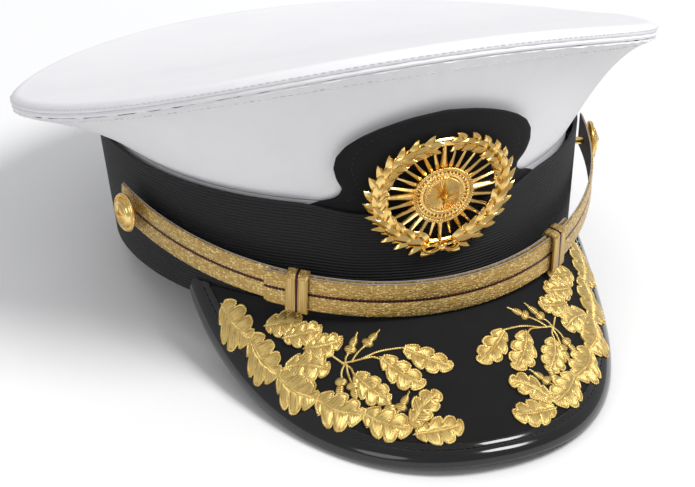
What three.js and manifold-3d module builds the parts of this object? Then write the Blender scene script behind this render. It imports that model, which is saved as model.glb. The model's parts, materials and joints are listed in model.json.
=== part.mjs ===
// A military peaked cap: a stiff band frame with a visor and chinstrap, and a white cover stretched over a ring.
// Millimetres, +Z up. The origin is the middle of the head opening, on the plane of the band's lower edge.
// The front of the cap looks along -Y. Angles run round the head: 0 at the front, positive towards +X.
import * as THREE from "three";
import { mergeVertices } from "three/addons/utils/BufferGeometryUtils.js";
import Module from "manifold-3d";

const wasm = await Module();
wasm.setup();
const degrees = THREE.MathUtils.degToRad;

// ---- Driving dimensions ----
const gap = 0.3; // left between pieces that touch
const ringSteps = 40; // facets of a ring round the head
const headHalfWidth = 78.9; // inside of the sweatband, side to side
const headFrontLength = 104.2; // inside of the sweatband, from its widest place to the front
const headBackLength = 88; // and to the back

const sweatbandThickness = 1.0;
const sweatbandHeight = 38;
const sweatbandLip = 0.9; // the turned lower edge under the frame band
const frameThickness = 1.3;
const frameHeight = 43;
const stiffenerThickness = 0.9;
const stiffenerHeight = 34;
const mohairThickness = 1.3;
const bandHeight = 45.2;
const bandFlare = 4.35; // how far the band leans out at its top
const bandDip = 4.5; // how far the band's top dips at the front, under the badge mount
const bandDipAngle = 32;

const rimHalfWidth = 119.3; // ridge of the crown, side to side
const rimFrontLength = 129.5; // from the widest place to the front
const rimBackLength = 106;
const rimHeight = 68.15;
const rimRise = 31.2; // the front of the rim above its mean height
const rimWave = 4.1; // front and back above the sides
const rimPeak = 1.4;
const rimBackLift = 13.2; // the back of the rim is held up over the band
const crownSag = 2.5;
const clothThickness = 1.0;
const rollDepth = 3.4; // from the ridge down to the seam
const rollWidth = 1.3; // the seam's radius past the ridge
const weltRadius = 0.6;
const sideSeamAngle = 100;
const hemDepth = 8.3; // how deep the cover's hem sits inside the band

const grommetRadius = 1.0;
const grommetInset = 3.6; // from the ridge to the ring's centre, inwards
const grommetDrop = 3.4;
const sleeveWall = 0.35;
const sleeveAngle = 4;
const stayHalfAngle = 9;
const stayThickness = 0.8;

const mountThickness = 1.2;
const mountHead = 34; // half width of the badge mount's round head
const mountWaist = 31;
const mountFoot = 48; // half width of the foot inside the band
const mountReach = 0.66; // share of the front panel that the mount covers
const mountStandOff = 2.5;
const mountFootHeight = 6.8; // how deep the mount stands in the band

const badgeHalfWidth = 27;
const badgeHalfHeight = 24;
const badgeThickness = 1.6;
const badgeHeight = 49;
const badgeLean = 12.5;
const badgeOffset = 13.6; // badge's back in front of the inside of the sweatband
const badgeBend = 95; // radius that the badge is bent to
const badgePostHeight = 11;
const badgePostRadius = 1.1;
const badgeNutRadius = 3.2;
const badgeNutThickness = 1.0;

const visorLength = 66.5;
const visorAngle = 60.9; // its tips, round the head
const visorSquareness = 3.15;
const visorRoundness = 2.08;
const visorSlope = 30;
const visorDroop = 7.8; // extra slope at the tips
const visorHeight = 6.9; // top of the visor where it meets the band
const visorClothThickness = 0.8;
const visorBoardThickness = 2.0;
const visorLiningThickness = 0.7;
const bindingWidth = 5.0;
const bindingWall = 0.8;
const embroideryThickness = 1.1;

const laceWidth = 12.7;
const laceThickness = 0.7;
const backingThickness = 0.5;
const strapStandOff = 6.9; // between the strap's inner layer and the band's lower edge
const strapFrontHeight = 11.1; // middle of the strap where it lies over the visor
const buttonAngle = 73;
const buttonHeight = 27.3;
const strapEndAngle = 38; // each half ends this far past the front, beyond its keeper
const keeperAngle = 31;
const keeperLength = 8.5;
const keeperWall = 0.8;
const buttonRadius = 7.2;
const buttonPostRadius = 1.4;
const buttonSocketDepth = 2; // how deep the post stands in the button
const postHoleClearance = 0.35;

// ---- Radial layers of the band, measured out from the inside of the sweatband ----
const frameInner = sweatbandThickness + gap;
const frameOuter = frameInner + frameThickness;
const stiffenerInner = frameOuter + gap;
const stiffenerOuter = stiffenerInner + stiffenerThickness;
const mohairInner = stiffenerOuter + gap;
const mohairOuter = mohairInner + mohairThickness;
const flareAt = (height) => (bandFlare * height) / bandHeight;

// ---- Finishes ----
const finishes = {
  whiteTwill: { color: 0xf2f1f4, roughness: 0.85, metalness: 0 },
  blackMohair: { color: 0x111114, roughness: 0.75, metalness: 0 },
  blackCloth: { color: 0x0d0d10, roughness: 0.95, metalness: 0 },
  blackPatent: { color: 0x050507, roughness: 0.12, metalness: 0 },
  goldLace: { color: 0xc9a446, roughness: 0.45, metalness: 0.8 },
  giltMetal: { color: 0xe3b64f, roughness: 0.25, metalness: 1 },
  paleBacking: { color: 0xcfc8c0, roughness: 0.8, metalness: 0 },
  greyPlastic: { color: 0x2b2c30, roughness: 0.5, metalness: 0 },
  tanLeather: { color: 0x8a6a4a, roughness: 0.6, metalness: 0 },
  springSteel: { color: 0x9a9ca0, roughness: 0.35, metalness: 1 },
  buckram: { color: 0x4a4640, roughness: 0.9, metalness: 0 },
};

// ---- Shapes ----

// Merges a geometry's shared corners, drops collapsed triangles and turns its faces outwards.
function closedBody(geometry) {
  geometry.deleteAttribute("normal");
  geometry.deleteAttribute("uv");
  const body = mergeVertices(geometry, 1e-4);
  const position = body.attributes.position;
  const corners = [new THREE.Vector3(), new THREE.Vector3(), new THREE.Vector3()];
  const kept = [];
  let volume = 0;
  for (let i = 0; i < body.index.count; i += 3) {
    const face = [0, 1, 2].map((k) => body.index.getX(i + k));
    if (new Set(face).size < 3) continue;
    face.forEach((vertex, k) => corners[k].fromBufferAttribute(position, vertex));
    volume += corners[0].dot(corners[1].clone().cross(corners[2]));
    kept.push(...face);
  }
  body.setIndex(volume < 0 ? kept.reverse() : kept);
  body.computeVertexNormals();
  return body;
}

// Moves every vertex of a geometry to place(x, y, z).
function bend(geometry, place) {
  const position = geometry.attributes.position;
  for (let i = 0; i < position.count; i += 1) {
    const point = place(position.getX(i), position.getY(i), position.getZ(i));
    position.setXYZ(i, point.x, point.y, point.z);
  }
  return closedBody(geometry);
}

// A block of steps [across, up, deep] whose corners (0 to 1 each way) are set by place.
function bentBlock(steps, place) {
  const block = new THREE.BoxGeometry(1, 1, 1, ...steps);
  return bend(block, (x, y, z) => place(x + 0.5, y + 0.5, z + 0.5));
}

// A closed ring round the head; section(theta) gives the corners of its cross-section there.
function ring(section, steps = ringSteps) {
  const count = section(0).length;
  const marks = Array.from({ length: count + 1 }, (_, j) => new THREE.Vector2(j + 1, 0));
  const lathe = new THREE.LatheGeometry(marks, steps);
  const position = lathe.attributes.position;
  for (let i = 0; i <= steps; i += 1) {
    const corners = section((i / steps) * 2 * Math.PI);
    for (let j = 0; j <= count; j += 1) {
      const point = corners[j % count];
      position.setXYZ(i * (count + 1) + j, point.x, point.y, point.z);
    }
  }
  return closedBody(lathe);
}

// A disc round the head's axis; section(theta) runs from the middle out and back to the middle.
function disc(section, steps = ringSteps) {
  const count = section(0).length;
  const marks = Array.from({ length: count }, (_, j) => new THREE.Vector2(j + 1, 0));
  const lathe = new THREE.LatheGeometry(marks, steps);
  const position = lathe.attributes.position;
  for (let i = 0; i <= steps; i += 1) {
    section((i / steps) * 2 * Math.PI).forEach((point, j) => {
      position.setXYZ(i * count + j, point.x, point.y, point.z);
    });
  }
  return closedBody(lathe);
}

// A solid for cutting and joining, and back.
function solid(geometry) {
  return new wasm.Manifold(
    new wasm.Mesh({
      numProp: 3,
      vertProperties: Float32Array.from(geometry.attributes.position.array),
      triVerts: Uint32Array.from(geometry.index.array),
    }),
  );
}

function fromSolid(body) {
  const mesh = body.getMesh();
  const geometry = new THREE.BufferGeometry();
  geometry.setAttribute("position", new THREE.BufferAttribute(mesh.vertProperties, 3));
  geometry.setIndex(new THREE.BufferAttribute(mesh.triVerts, 1));
  geometry.computeVertexNormals();
  return geometry;
}

const cut = (geometry, ...cutters) =>
  fromSolid(cutters.reduce((body, cutter) => body.subtract(solid(cutter)), solid(geometry)));
const join = (...pieces) => fromSolid(pieces.map(solid).reduce((body, piece) => body.add(piece)));

// A round bar along local Z from one height to another.
function bar(radius, from, to, sides = 12) {
  const cylinder = new THREE.CylinderGeometry(radius, radius, to - from, sides);
  cylinder.rotateX(Math.PI / 2).translate(0, 0, (from + to) / 2);
  return closedBody(cylinder);
}

const root = new THREE.Group();

function add(name, geometry, finish, parent = root) {
  const mesh = new THREE.Mesh(geometry, new THREE.MeshStandardMaterial(finishes[finish]));
  mesh.name = name;
  parent.add(mesh);
  return mesh;
}

// A value that eases between stops of [angle in degrees, value], either side of the front.
function eased(stops, theta) {
  const angle = Math.abs(THREE.MathUtils.radToDeg(Math.atan2(Math.sin(theta), Math.cos(theta))));
  const next = Math.max(1, stops.findIndex(([stop]) => angle <= stop + 1e-6));
  const [[a0, v0], [a1, v1]] = [stops[next - 1], stops[next]];
  return v0 + (v1 - v0) * THREE.MathUtils.smoothstep(angle, a0, a1);
}

// ---- The band ----

// A point on the oval round the head, a distance out from the inside of the sweatband.
function oval(theta, offset, height) {
  const length = Math.cos(theta) > 0 ? headFrontLength : headBackLength;
  return new THREE.Vector3(
    (headHalfWidth + offset) * Math.sin(theta),
    -(length + offset) * Math.cos(theta),
    height,
  );
}

const ovalRing = (profile) => ring((theta) => profile.map(([o, z]) => oval(theta, o, z)));
const flaredPoint = (theta, offset, height) => oval(theta, offset + flareAt(height), height);
const bandTopAt = (theta) =>
  bandHeight - eased([[0, bandDip], [bandDipAngle / 2, bandDip * 0.8], [bandDipAngle, 0], [180, 0]], theta);

// Where a button's post goes through the band: its own frame, local Z pointing out of the cap.
function buttonFrame(side) {
  const theta = side * degrees(buttonAngle);
  const place = strapToWorld(strapPoint(theta, 0, 0));
  const outward = new THREE.Vector3(
    Math.sin(theta) * (headFrontLength + strapOffset),
    -Math.cos(theta) * (headHalfWidth + strapOffset),
    0,
  ).normalize();
  const turn = new THREE.Quaternion().setFromUnitVectors(new THREE.Vector3(0, 0, 1), outward);
  return new THREE.Matrix4().compose(place, turn, new THREE.Vector3(1, 1, 1));
}

const postHole = (side) =>
  bar(buttonPostRadius + postHoleClearance, -14, 8).applyMatrix4(buttonFrame(side));
const drilled = (geometry) => cut(geometry, postHole(-1), postHole(1));

// ---- The chinstrap's own tilted frame: it hangs from the buttons and lies on the visor at the front ----
const strapOffset = mohairOuter + strapStandOff + laceThickness + backingThickness + gap;
const tilt = Math.atan(
  (buttonHeight - strapFrontHeight) /
    ((headFrontLength + strapOffset) * (1 - Math.cos(degrees(buttonAngle)))),
);
const strapFrame = new THREE.Group();
const strapHalfLength = (headFrontLength + strapOffset) / Math.cos(tilt);
const strapRise =
  buttonHeight + (headFrontLength + strapOffset) * Math.cos(degrees(buttonAngle)) * Math.tan(tilt);
strapFrame.position.set(0, 0, strapRise);
strapFrame.rotation.x = tilt;
strapFrame.updateMatrixWorld(true);
root.add(strapFrame);

function strapPoint(theta, offset, height) {
  return new THREE.Vector3(
    (headHalfWidth + strapOffset + offset) * Math.sin(theta),
    -(strapHalfLength + offset) * Math.cos(theta),
    height,
  );
}
function strapToWorld(point) {
  return point.applyMatrix4(strapFrame.matrixWorld);
}

function addBand() {
  const lip = frameOuter;
  add(
    "sweatband",
    ovalRing([
      [0, 0],
      [lip, 0],
      [lip, sweatbandLip],
      [sweatbandThickness, sweatbandLip],
      [sweatbandThickness, sweatbandHeight],
      [0, sweatbandHeight],
    ]),
    "tanLeather",
  );
  const tabHalfAngle = degrees(4);
  add(
    "sweatband_tab",
    bentBlock([4, 1, 1], (u, v, w) =>
      oval(Math.PI + (2 * u - 1) * tabHalfAngle, -2 * gap - 0.9 * w, 3 + (sweatbandHeight - 7) * v),
    ),
    "tanLeather",
  );
  const frameBase = sweatbandLip + gap;
  add(
    "frame_band",
    drilled(
      ovalRing([
        [frameInner, frameBase],
        [frameOuter, frameBase],
        [frameOuter, frameHeight],
        [frameInner, frameHeight],
      ]),
    ),
    "greyPlastic",
  );
  const stiffenerBase = 1.5;
  add(
    "band_stiffener",
    drilled(
      ring((theta) => [
        flaredPoint(theta, stiffenerInner, stiffenerBase),
        flaredPoint(theta, stiffenerOuter, stiffenerBase),
        flaredPoint(theta, stiffenerOuter, stiffenerHeight),
        flaredPoint(theta, stiffenerInner, stiffenerHeight),
      ]),
    ),
    "buckram",
  );
  const mohairBase = 0.4;
  add(
    "mohair_band",
    drilled(
      ring((theta) => [
        flaredPoint(theta, mohairInner, mohairBase),
        flaredPoint(theta, mohairOuter, mohairBase),
        flaredPoint(theta, mohairOuter, bandTopAt(theta)),
        flaredPoint(theta, mohairInner, bandTopAt(theta)),
      ]),
    ),
    "blackMohair",
  );
  const spliceHalfAngle = degrees(2.5);
  add(
    "band_splice",
    bentBlock([2, 1, 1], (u, v, w) => {
      const height = mohairBase + 0.4 + (bandHeight - 1.2) * v;
      const theta = Math.PI + (2 * u - 1) * spliceHalfAngle;
      return flaredPoint(theta, mohairOuter + gap + 0.7 * w, height);
    }),
    "blackMohair",
  );
}

// ---- The cover ----
const panelFoot = mohairInner + flareAt(bandHeight) - mountThickness - 0.85; // where the side panel leaves the band
const panelFootHeight = bandHeight + 0.5;
const seamDrop = rollDepth + 2 * gap + 2 * weltRadius;
const leaveAngles = [[0, 80], [65, 50], [100, 16], [180, 4]]; // the panel's rise as it leaves the band
const arriveAngles = [[0, 60], [65, 15], [100, 24], [180, 2]]; // and as it reaches the rim

// The height of the stretched crown, share 0 at its middle to 1 at the ridge.
function crownHeight(theta, share) {
  const back = Math.min(0, share * Math.cos(theta));
  return (
    rimHeight +
    rimRise * share * Math.cos(theta) +
    rimWave * share ** 2 * Math.cos(2 * theta) +
    rimPeak * share ** 3 * Math.cos(3 * theta) +
    rimBackLift * back ** 2 -
    crownSag * (1 - share ** 2)
  );
}

// A point by the crown's ridge, out and up from it.
function rimPoint(theta, out, up) {
  const length = Math.cos(theta) > 0 ? rimFrontLength : rimBackLength;
  return new THREE.Vector3(
    (rimHalfWidth + out) * Math.sin(theta),
    -(length + out) * Math.cos(theta),
    crownHeight(theta, 1) + up,
  );
}

// A point of the side panel: share 0 at the band to 1 at the seam, an inset inwards from its outer face.
function panelPoint(theta, share, inset) {
  const foot = oval(theta, panelFoot, panelFootHeight);
  const arrive = degrees(eased(arriveAngles, theta));
  const head = rimPoint(theta, rollWidth - 0.2, -seamDrop - clothThickness * Math.cos(arrive));
  const flat = new THREE.Vector3(head.x - foot.x, head.y - foot.y, 0);
  const out = flat.clone().normalize();
  const pull = foot.distanceTo(head) / 3;
  const along = (angle, length) =>
    out.clone().multiplyScalar(Math.cos(angle) * length).setZ(Math.sin(angle) * length);
  const curve = new THREE.CubicBezierCurve3(
    foot,
    foot.clone().add(along(degrees(eased(leaveAngles, theta)), pull)),
    head.clone().sub(along(arrive, pull)),
    head,
  );
  const tangent = curve.getTangent(share);
  const level = tangent.dot(out);
  const inwards = out.clone().multiplyScalar(-tangent.z).setZ(level);
  return curve.getPoint(share).addScaledVector(inwards, inset);
}

// A point of the crown itself, the same share of the way out from its middle all round.
function crownPoint(theta, share, up) {
  const ridge = rimPoint(theta, 0, 0);
  return new THREE.Vector3(ridge.x * share, ridge.y * share, crownHeight(theta, share) + up);
}

function addCover() {
  const shares = [0, 0.35, 0.65, 0.85, 0.95];
  add(
    "cover_top",
    disc((theta) => [
      ...shares.map((share) => crownPoint(theta, share, 0)),
      rimPoint(theta, -1.6, 0),
      rimPoint(theta, 0.4, -0.4),
      rimPoint(theta, rollWidth + 0.5, -1.9),
      rimPoint(theta, rollWidth, -rollDepth),
      rimPoint(theta, rollWidth - clothThickness, -rollDepth),
      rimPoint(theta, rollWidth + 0.5 - clothThickness, -2.1),
      rimPoint(theta, -1.0, -clothThickness - 0.1),
      ...shares.toReversed().map((share) => crownPoint(theta, share, -clothThickness)),
    ]),
    "whiteTwill",
  );
  const weltDrop = rollDepth + gap + weltRadius;
  add(
    "cover_welt",
    ring((theta) =>
      [0, 1, 2, 3, 4, 5].map((corner) => {
        const turn = (corner / 6) * 2 * Math.PI;
        const out = rollWidth - clothThickness / 2 + weltRadius * Math.sin(turn);
        return rimPoint(theta, out + 0.2, -weltDrop + weltRadius * Math.cos(turn));
      }),
    ),
    "whiteTwill",
  );
  const seam = degrees(sideSeamAngle);
  const seamGap = degrees(0.2);
  const panel = (from, to, steps) =>
    bentBlock([steps, 5, 1], (u, v, w) => panelPoint(from + (to - from) * u, v, clothThickness * w));
  add("cover_side_front", panel(-seam + seamGap, seam - seamGap, 24), "whiteTwill");
  add("cover_side_back", panel(seam + seamGap, 2 * Math.PI - seam - seamGap, 20), "whiteTwill");
  const hemTop = panelFootHeight - gap - 0.1;
  const hemFoot = stiffenerOuter + 0.5;
  add(
    "cover_hem",
    ovalRing([
      [hemFoot, hemTop - hemDepth],
      [hemFoot + 0.7, hemTop - hemDepth],
      [panelFoot - 0.2, hemTop],
      [panelFoot - 0.9, hemTop],
    ]),
    "whiteTwill",
  );
}

// ---- The ring and stay that stretch the cover ----
function grommetPoint(theta, radius, turn) {
  return rimPoint(
    theta,
    radius * Math.cos(turn) - grommetInset,
    radius * Math.sin(turn) - grommetDrop,
  );
}

// A tube round the rim between two angles; the corners of a square block are pushed out to a circle.
function grommetTube(radius, from, to, steps) {
  return bentBlock([steps, 2, 2], (u, v, w) => {
    const across = Math.max(Math.abs(v - 0.5), Math.abs(w - 0.5)) * 2;
    const turn = Math.atan2(v - 0.5, w - 0.5);
    return grommetPoint(from + (to - from) * u, radius * across, turn);
  });
}

function addGrommet() {
  const half = degrees(sleeveAngle);
  const openEnd = degrees(0.4);
  add(
    "grommet_ring",
    grommetTube(grommetRadius, -Math.PI + openEnd, Math.PI - openEnd, ringSteps),
    "springSteel",
  );
  const sleeve = (radius, reach) => grommetTube(radius, Math.PI - reach, Math.PI + reach, 4);
  const bore = grommetRadius + gap + 0.1;
  add("grommet_sleeve", cut(sleeve(bore + sleeveWall, half), sleeve(bore, half * 1.2)), "springSteel");
  const stayFoot = panelFootHeight - hemDepth - 1;
  const stayFootOffset = frameOuter + 0.2;
  const footShare = 0.2;
  const inner = clothThickness + 0.55;
  add(
    "front_stay",
    bentBlock([6, 10, 1], (u, v, w) => {
      const theta = (2 * u - 1) * degrees(stayHalfAngle);
      const deep = stayThickness * (1 - w);
      if (v >= footShare - 1e-6) {
        const share = 0.06 + ((v - footShare) / (1 - footShare)) * 0.88;
        return panelPoint(theta, share, inner + deep);
      }
      const low = oval(theta, stayFootOffset + stayThickness - deep, stayFoot);
      return low.lerp(panelPoint(theta, 0.06, inner + deep), v / footShare);
    }),
    "springSteel",
  );
}

// ---- The badge mount, badge and nut ----

// The mount's half width along its height, 0 at the foot to 1 at the top of its head.
const mountOutline = new THREE.SplineCurve(
  [[0, mountFoot], [0.16, mountFoot - 1], [0.23, mountWaist + 3], [0.32, mountWaist],
    [0.55, mountHead], [0.72, mountHead - 1.5], [0.86, mountHead - 8], [0.95, mountHead - 17],
    [1, mountHead - 27]].map(([v, half]) => new THREE.Vector2(v * 100, half)),
);

function mountHalfWidth(v) {
  let low = 0;
  let high = 1;
  for (let i = 0; i < 24; i += 1) {
    const middle = (low + high) / 2;
    if (mountOutline.getPoint(middle).x < v * 100) low = middle;
    else high = middle;
  }
  return mountOutline.getPoint(low).y;
}

// A point of the mount: the foot stands in the band, the head in front of the cover's front panel.
function mountPoint(x, v, out) {
  const footShare = 0.16;
  const theta = Math.asin(x / (headHalfWidth + panelFoot));
  if (v <= footShare) {
    const low = oval(theta, stiffenerOuter + 1.6 + out, bandHeight - mountFootHeight);
    const high = oval(theta, panelFoot + 0.4 + out, panelFootHeight - 0.35);
    return low.lerp(high, v / footShare);
  }
  const share = ((v - footShare) / (1 - footShare)) * mountReach;
  let turn = theta;
  for (let i = 0; i < 6; i += 1) turn *= x / (panelPoint(turn, share, 0).x || x || 1);
  const stand = 0.4 + mountStandOff * THREE.MathUtils.smoothstep(v, footShare, 0.5);
  return panelPoint(turn, share, -stand - out);
}

const badgeFrame = new THREE.Group();

function addBadge() {
  const lean = degrees(badgeLean);
  badgeFrame.position.set(0, -(headFrontLength + badgeOffset), badgeHeight);
  badgeFrame.rotation.x = Math.PI / 2 + lean;
  badgeFrame.updateMatrixWorld(true);
  root.add(badgeFrame);

  const bent = (geometry) =>
    bend(geometry, (x, y, z) => new THREE.Vector3(x, y, z - (x * x) / (2 * badgeBend)));
  const lobes = 22;
  const leafDepth = 1.4;
  const wreathWidth = 7;
  // Two laurel sprays closed into an oval; its outer edge is lobed by the leaves' tips.
  const wreath = ring((turn) => {
    const lobe = (leafDepth * (Math.cos(turn * lobes) - 1)) / 2;
    const corner = (reach, height) =>
      new THREE.Vector3(
        (badgeHalfWidth + reach) * Math.sin(turn),
        (badgeHalfHeight + reach) * Math.cos(turn),
        height,
      );
    return [
      corner(lobe, 0),
      corner(lobe, badgeThickness),
      corner(-wreathWidth, badgeThickness),
      corner(-wreathWidth, 0),
    ];
  }, lobes * 4);
  const bossRadius = 11;
  const boss = new THREE.LatheGeometry(
    [[0, 0], [bossRadius, 0], [bossRadius, 1.6], [bossRadius - 1.5, 2.4], [bossRadius - 3, 2.0], [3, 3.0], [0, 3.2]]
      .map(([r, y]) => new THREE.Vector2(r, y)),
    24,
  ).rotateX(Math.PI / 2);
  const crossBar = (length, width, turn) =>
    bentBlock([8, 1, 1], (u, v, w) =>
      new THREE.Vector3((2 * u - 1) * length, (2 * v - 1) * width, w * (badgeThickness - 0.4))
        .applyAxisAngle(new THREE.Vector3(0, 0, 1), turn),
    );
  const post = bar(badgePostRadius, -5.4, 1).translate(0, badgePostHeight, 0);
  const badge = join(
    bent(wreath),
    bent(boss),
    bent(crossBar(badgeHalfWidth - 4, 3, 0)),
    bent(crossBar(badgeHalfHeight - 4, 3, Math.PI / 2)),
    post,
  );
  add("badge", badge, "giltMetal", badgeFrame);

  const hole = bar(badgePostRadius + postHoleClearance, -12, 6)
    .translate(0, badgePostHeight, 0)
    .applyMatrix4(badgeFrame.matrixWorld);
  const mount = bentBlock([16, 14, 1], (u, v, w) =>
    mountPoint((2 * u - 1) * mountHalfWidth(v), v, mountThickness * w),
  );
  add("badge_mount", cut(mount, hole), "blackCloth");
  const nutBack = -5.0;
  const nut = cut(
    bar(badgeNutRadius, nutBack, nutBack + badgeNutThickness, 16),
    bar(badgePostRadius + gap, nutBack - 2, nutBack + 4),
  );
  add("badge_nut", nut.translate(0, badgePostHeight, 0), "giltMetal", badgeFrame);
}

// ---- The visor ----
const visorRoot = mohairOuter + flareAt(visorHeight) + 1.0; // the visor starts here, outside the band
const visorSpread = degrees(visorAngle);

// The visor's height at a plan point, on its top face.
function visorTop(x, y) {
  const theta = Math.asin(THREE.MathUtils.clamp(x / (headHalfWidth + visorRoot), -1, 1));
  const q = theta / visorSpread;
  const bandY = -(headFrontLength + visorRoot) * Math.cos(theta);
  return visorHeight - (bandY - y) * Math.tan(degrees(visorSlope + visorDroop * q * q));
}

// The visor's edge in plan: turn runs from -90 degrees at one tip to +90 at the other.
function visorEdge(turn) {
  const q = Math.sign(Math.sin(turn)) * Math.abs(Math.sin(turn)) ** (2 / visorSquareness);
  const theta = q * visorSpread;
  const length = visorLength * Math.cos(turn) ** (2 / visorRoundness);
  const slope = degrees(visorSlope + visorDroop * q * q);
  return new THREE.Vector2(
    (headHalfWidth + visorRoot) * Math.sin(theta),
    -(headFrontLength + visorRoot) * Math.cos(theta) - length * Math.cos(slope),
  );
}

// The edge moved inwards in plan, kept in front of the band.
function visorInset(turn, inset) {
  const step = 1e-3;
  const along = visorEdge(turn + step).sub(visorEdge(turn - step)).normalize();
  const point = visorEdge(turn).add(new THREE.Vector2(-along.y, along.x).multiplyScalar(inset));
  const bandY = -(headFrontLength + visorRoot) * Math.sqrt(1 - (point.x / (headHalfWidth + visorRoot)) ** 2);
  point.y = Math.min(point.y, bandY);
  return point;
}

// A layer of the visor between two heights under its top face, out to an inset from the edge.
function visorLayer(inset, top, thickness, tipTurn) {
  return bentBlock([26, 4, 1], (u, v, w) => {
    const edge = visorInset((2 * u - 1) * degrees(tipTurn), inset);
    const bandY = -(headFrontLength + visorRoot) * Math.sqrt(1 - (edge.x / (headHalfWidth + visorRoot)) ** 2);
    const y = bandY + (edge.y - bandY) * v;
    return new THREE.Vector3(edge.x, y, visorTop(edge.x, y) - top - thickness * (1 - w));
  });
}

function addVisor() {
  const layerGap = 0.5; // the layers' facets don't line up at the tips
  const boardTop = visorClothThickness + layerGap;
  const liningTop = boardTop + visorBoardThickness + layerGap;
  const coverInset = bindingWidth + layerGap;
  const boardInset = bindingWall + 0.8;
  add("visor_cloth", visorLayer(coverInset, 0, visorClothThickness, 78), "blackCloth");
  add("visor_board", visorLayer(boardInset, boardTop, visorBoardThickness, 82), "greyPlastic");
  add("visor_lining", visorLayer(coverInset, liningTop, visorLiningThickness, 78), "blackPatent");
  const floor = liningTop + visorLiningThickness;
  const leaf = [
    [0, -0.3],
    [bindingWidth, -0.5],
    [bindingWidth, visorClothThickness],
    [bindingWall, visorClothThickness],
    [bindingWall, liningTop],
    [bindingWidth, liningTop],
    [bindingWidth, floor],
    [0, floor],
  ];
  const steps = 36;
  const tip = degrees(86.5);
  const strip = new THREE.ExtrudeGeometry(
    new THREE.Shape(leaf.map(([inset, down]) => new THREE.Vector2(inset, down))),
    { depth: 1, steps, bevelEnabled: false },
  );
  const binding = bend(strip, (inset, down, along) => {
    const edge = visorInset((2 * along - 1) * tip, inset);
    return new THREE.Vector3(edge.x, edge.y, visorTop(edge.x, edge.y) - down);
  });
  add("visor_binding", binding, "blackPatent");

  const inner = 24;
  const outerInset = bindingWidth + 3;
  [-1, 1].forEach((side) => {
    const spray = bentBlock([12, 3, 1], (u, v, w) => {
      const turn = side * degrees(8 + 58 * u);
      const low = visorInset(turn, outerInset + (inner - 10 * u) * v);
      return new THREE.Vector3(low.x, low.y, visorTop(low.x, low.y) + 0.5 + embroideryThickness * w);
    });
    add(side < 0 ? "visor_embroidery_right" : "visor_embroidery_left", spray, "goldLace");
  });
}

// ---- The chinstrap, keepers and buttons ----

// One layer of the strap between two angles, from one offset outwards.
function strapLayer(from, to, offset, thickness, width) {
  const steps = 28;
  const layer = bentBlock([steps, 1, 1], (u, v, w) =>
    strapPoint(degrees(from + (to - from) * u), offset + thickness * w, (v - 0.5) * width),
  );
  const toLocal = strapFrame.matrixWorld.clone().invert();
  return cut(layer, postHole(-1).applyMatrix4(toLocal), postHole(1).applyMatrix4(toLocal));
}

function addStrap() {
  const past = 4.5; // degrees of strap beyond each button
  const pair = laceThickness + backingThickness + gap;
  const end = buttonAngle + past;
  const halves = [
    ["right", -end, strapEndAngle, -pair],
    ["left", -strapEndAngle, end, gap],
  ];
  halves.forEach(([side, from, to, offset]) => {
    const backing = strapLayer(from, to, offset, backingThickness - gap / 2, laceWidth + 0.6);
    add("strap_backing_" + side, backing, "paleBacking", strapFrame);
    const lace = strapLayer(from, to, offset + backingThickness + gap / 2, laceThickness - gap / 2, laceWidth);
    add("strap_lace_" + side, lace, "goldLace", strapFrame);
  });

  const halfDeep = pair + gap + 0.35;
  const halfTall = laceWidth / 2 + 0.3 + gap + 0.1;
  const outline = (grow) => [
    new THREE.Vector2(-halfDeep - grow, -halfTall - grow),
    new THREE.Vector2(halfDeep + grow, -halfTall - grow),
    new THREE.Vector2(halfDeep + grow, halfTall + grow),
    new THREE.Vector2(-halfDeep - grow, halfTall + grow),
  ];
  const loop = new THREE.Shape(outline(keeperWall));
  loop.holes.push(new THREE.Path(outline(0)));
  const middle = (headHalfWidth + strapHalfLength) / 2 + strapOffset;
  [-1, 1].forEach((side) => {
    const block = new THREE.ExtrudeGeometry(loop, { depth: 1, steps: 4, bevelEnabled: false });
    const keeper = bend(block, (offset, height, along) => {
      const theta = side * degrees(keeperAngle) + ((along - 0.5) * keeperLength) / middle;
      return strapPoint(theta, offset, height);
    });
    add(side < 0 ? "keeper_right" : "keeper_left", keeper, "goldLace", strapFrame);
  });
}

function addButtons() {
  [-1, 1].forEach((side) => {
    const frame = new THREE.Group();
    frame.applyMatrix4(buttonFrame(side));
    root.add(frame);
    const back = laceThickness + backingThickness + 2 * gap + 0.3;
    const inner = -(strapOffset - frameInner - 0.4);
    const socketRadius = buttonPostRadius + gap;
    const socketTop = back + buttonSocketDepth;
    const dome = [
      [0, socketTop],
      [socketRadius, socketTop],
      [socketRadius, back],
      [buttonRadius - 0.6, back],
      [buttonRadius, back + 0.7],
      [buttonRadius - 0.5, back + 1.5],
      [buttonRadius - 1.6, back + 1.6],
      [buttonRadius - 2.4, back + 2.6],
      [3, back + 3.6],
      [0, back + 4.1],
    ].map(([radius, height]) => new THREE.Vector2(radius, height));
    const head = closedBody(new THREE.LatheGeometry(dome, 20).rotateX(Math.PI / 2));
    const name = side < 0 ? "right" : "left";
    add("button_" + name, head, "giltMetal", frame);
    add("button_post_" + name, bar(buttonPostRadius, inner, socketTop - gap), "giltMetal", frame);
  });
}

addBand();
addCover();
addGrommet();
addBadge();
addVisor();
addStrap();
addButtons();

export default root;
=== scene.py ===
"""A military peaked cap with a stretched white cover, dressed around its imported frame.

Lengths are millimetres until a mesh is made, and angles run round the head from the
front (-Y), positive towards the wearer's left (+X).
"""

from __future__ import annotations

import json
import logging
import math
from collections.abc import Callable, Iterable, Mapping, Sequence
from dataclasses import dataclass, field
from enum import Enum
from typing import Any

import bmesh
import bpy
import numpy as np
from mathutils import Matrix, Vector

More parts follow.
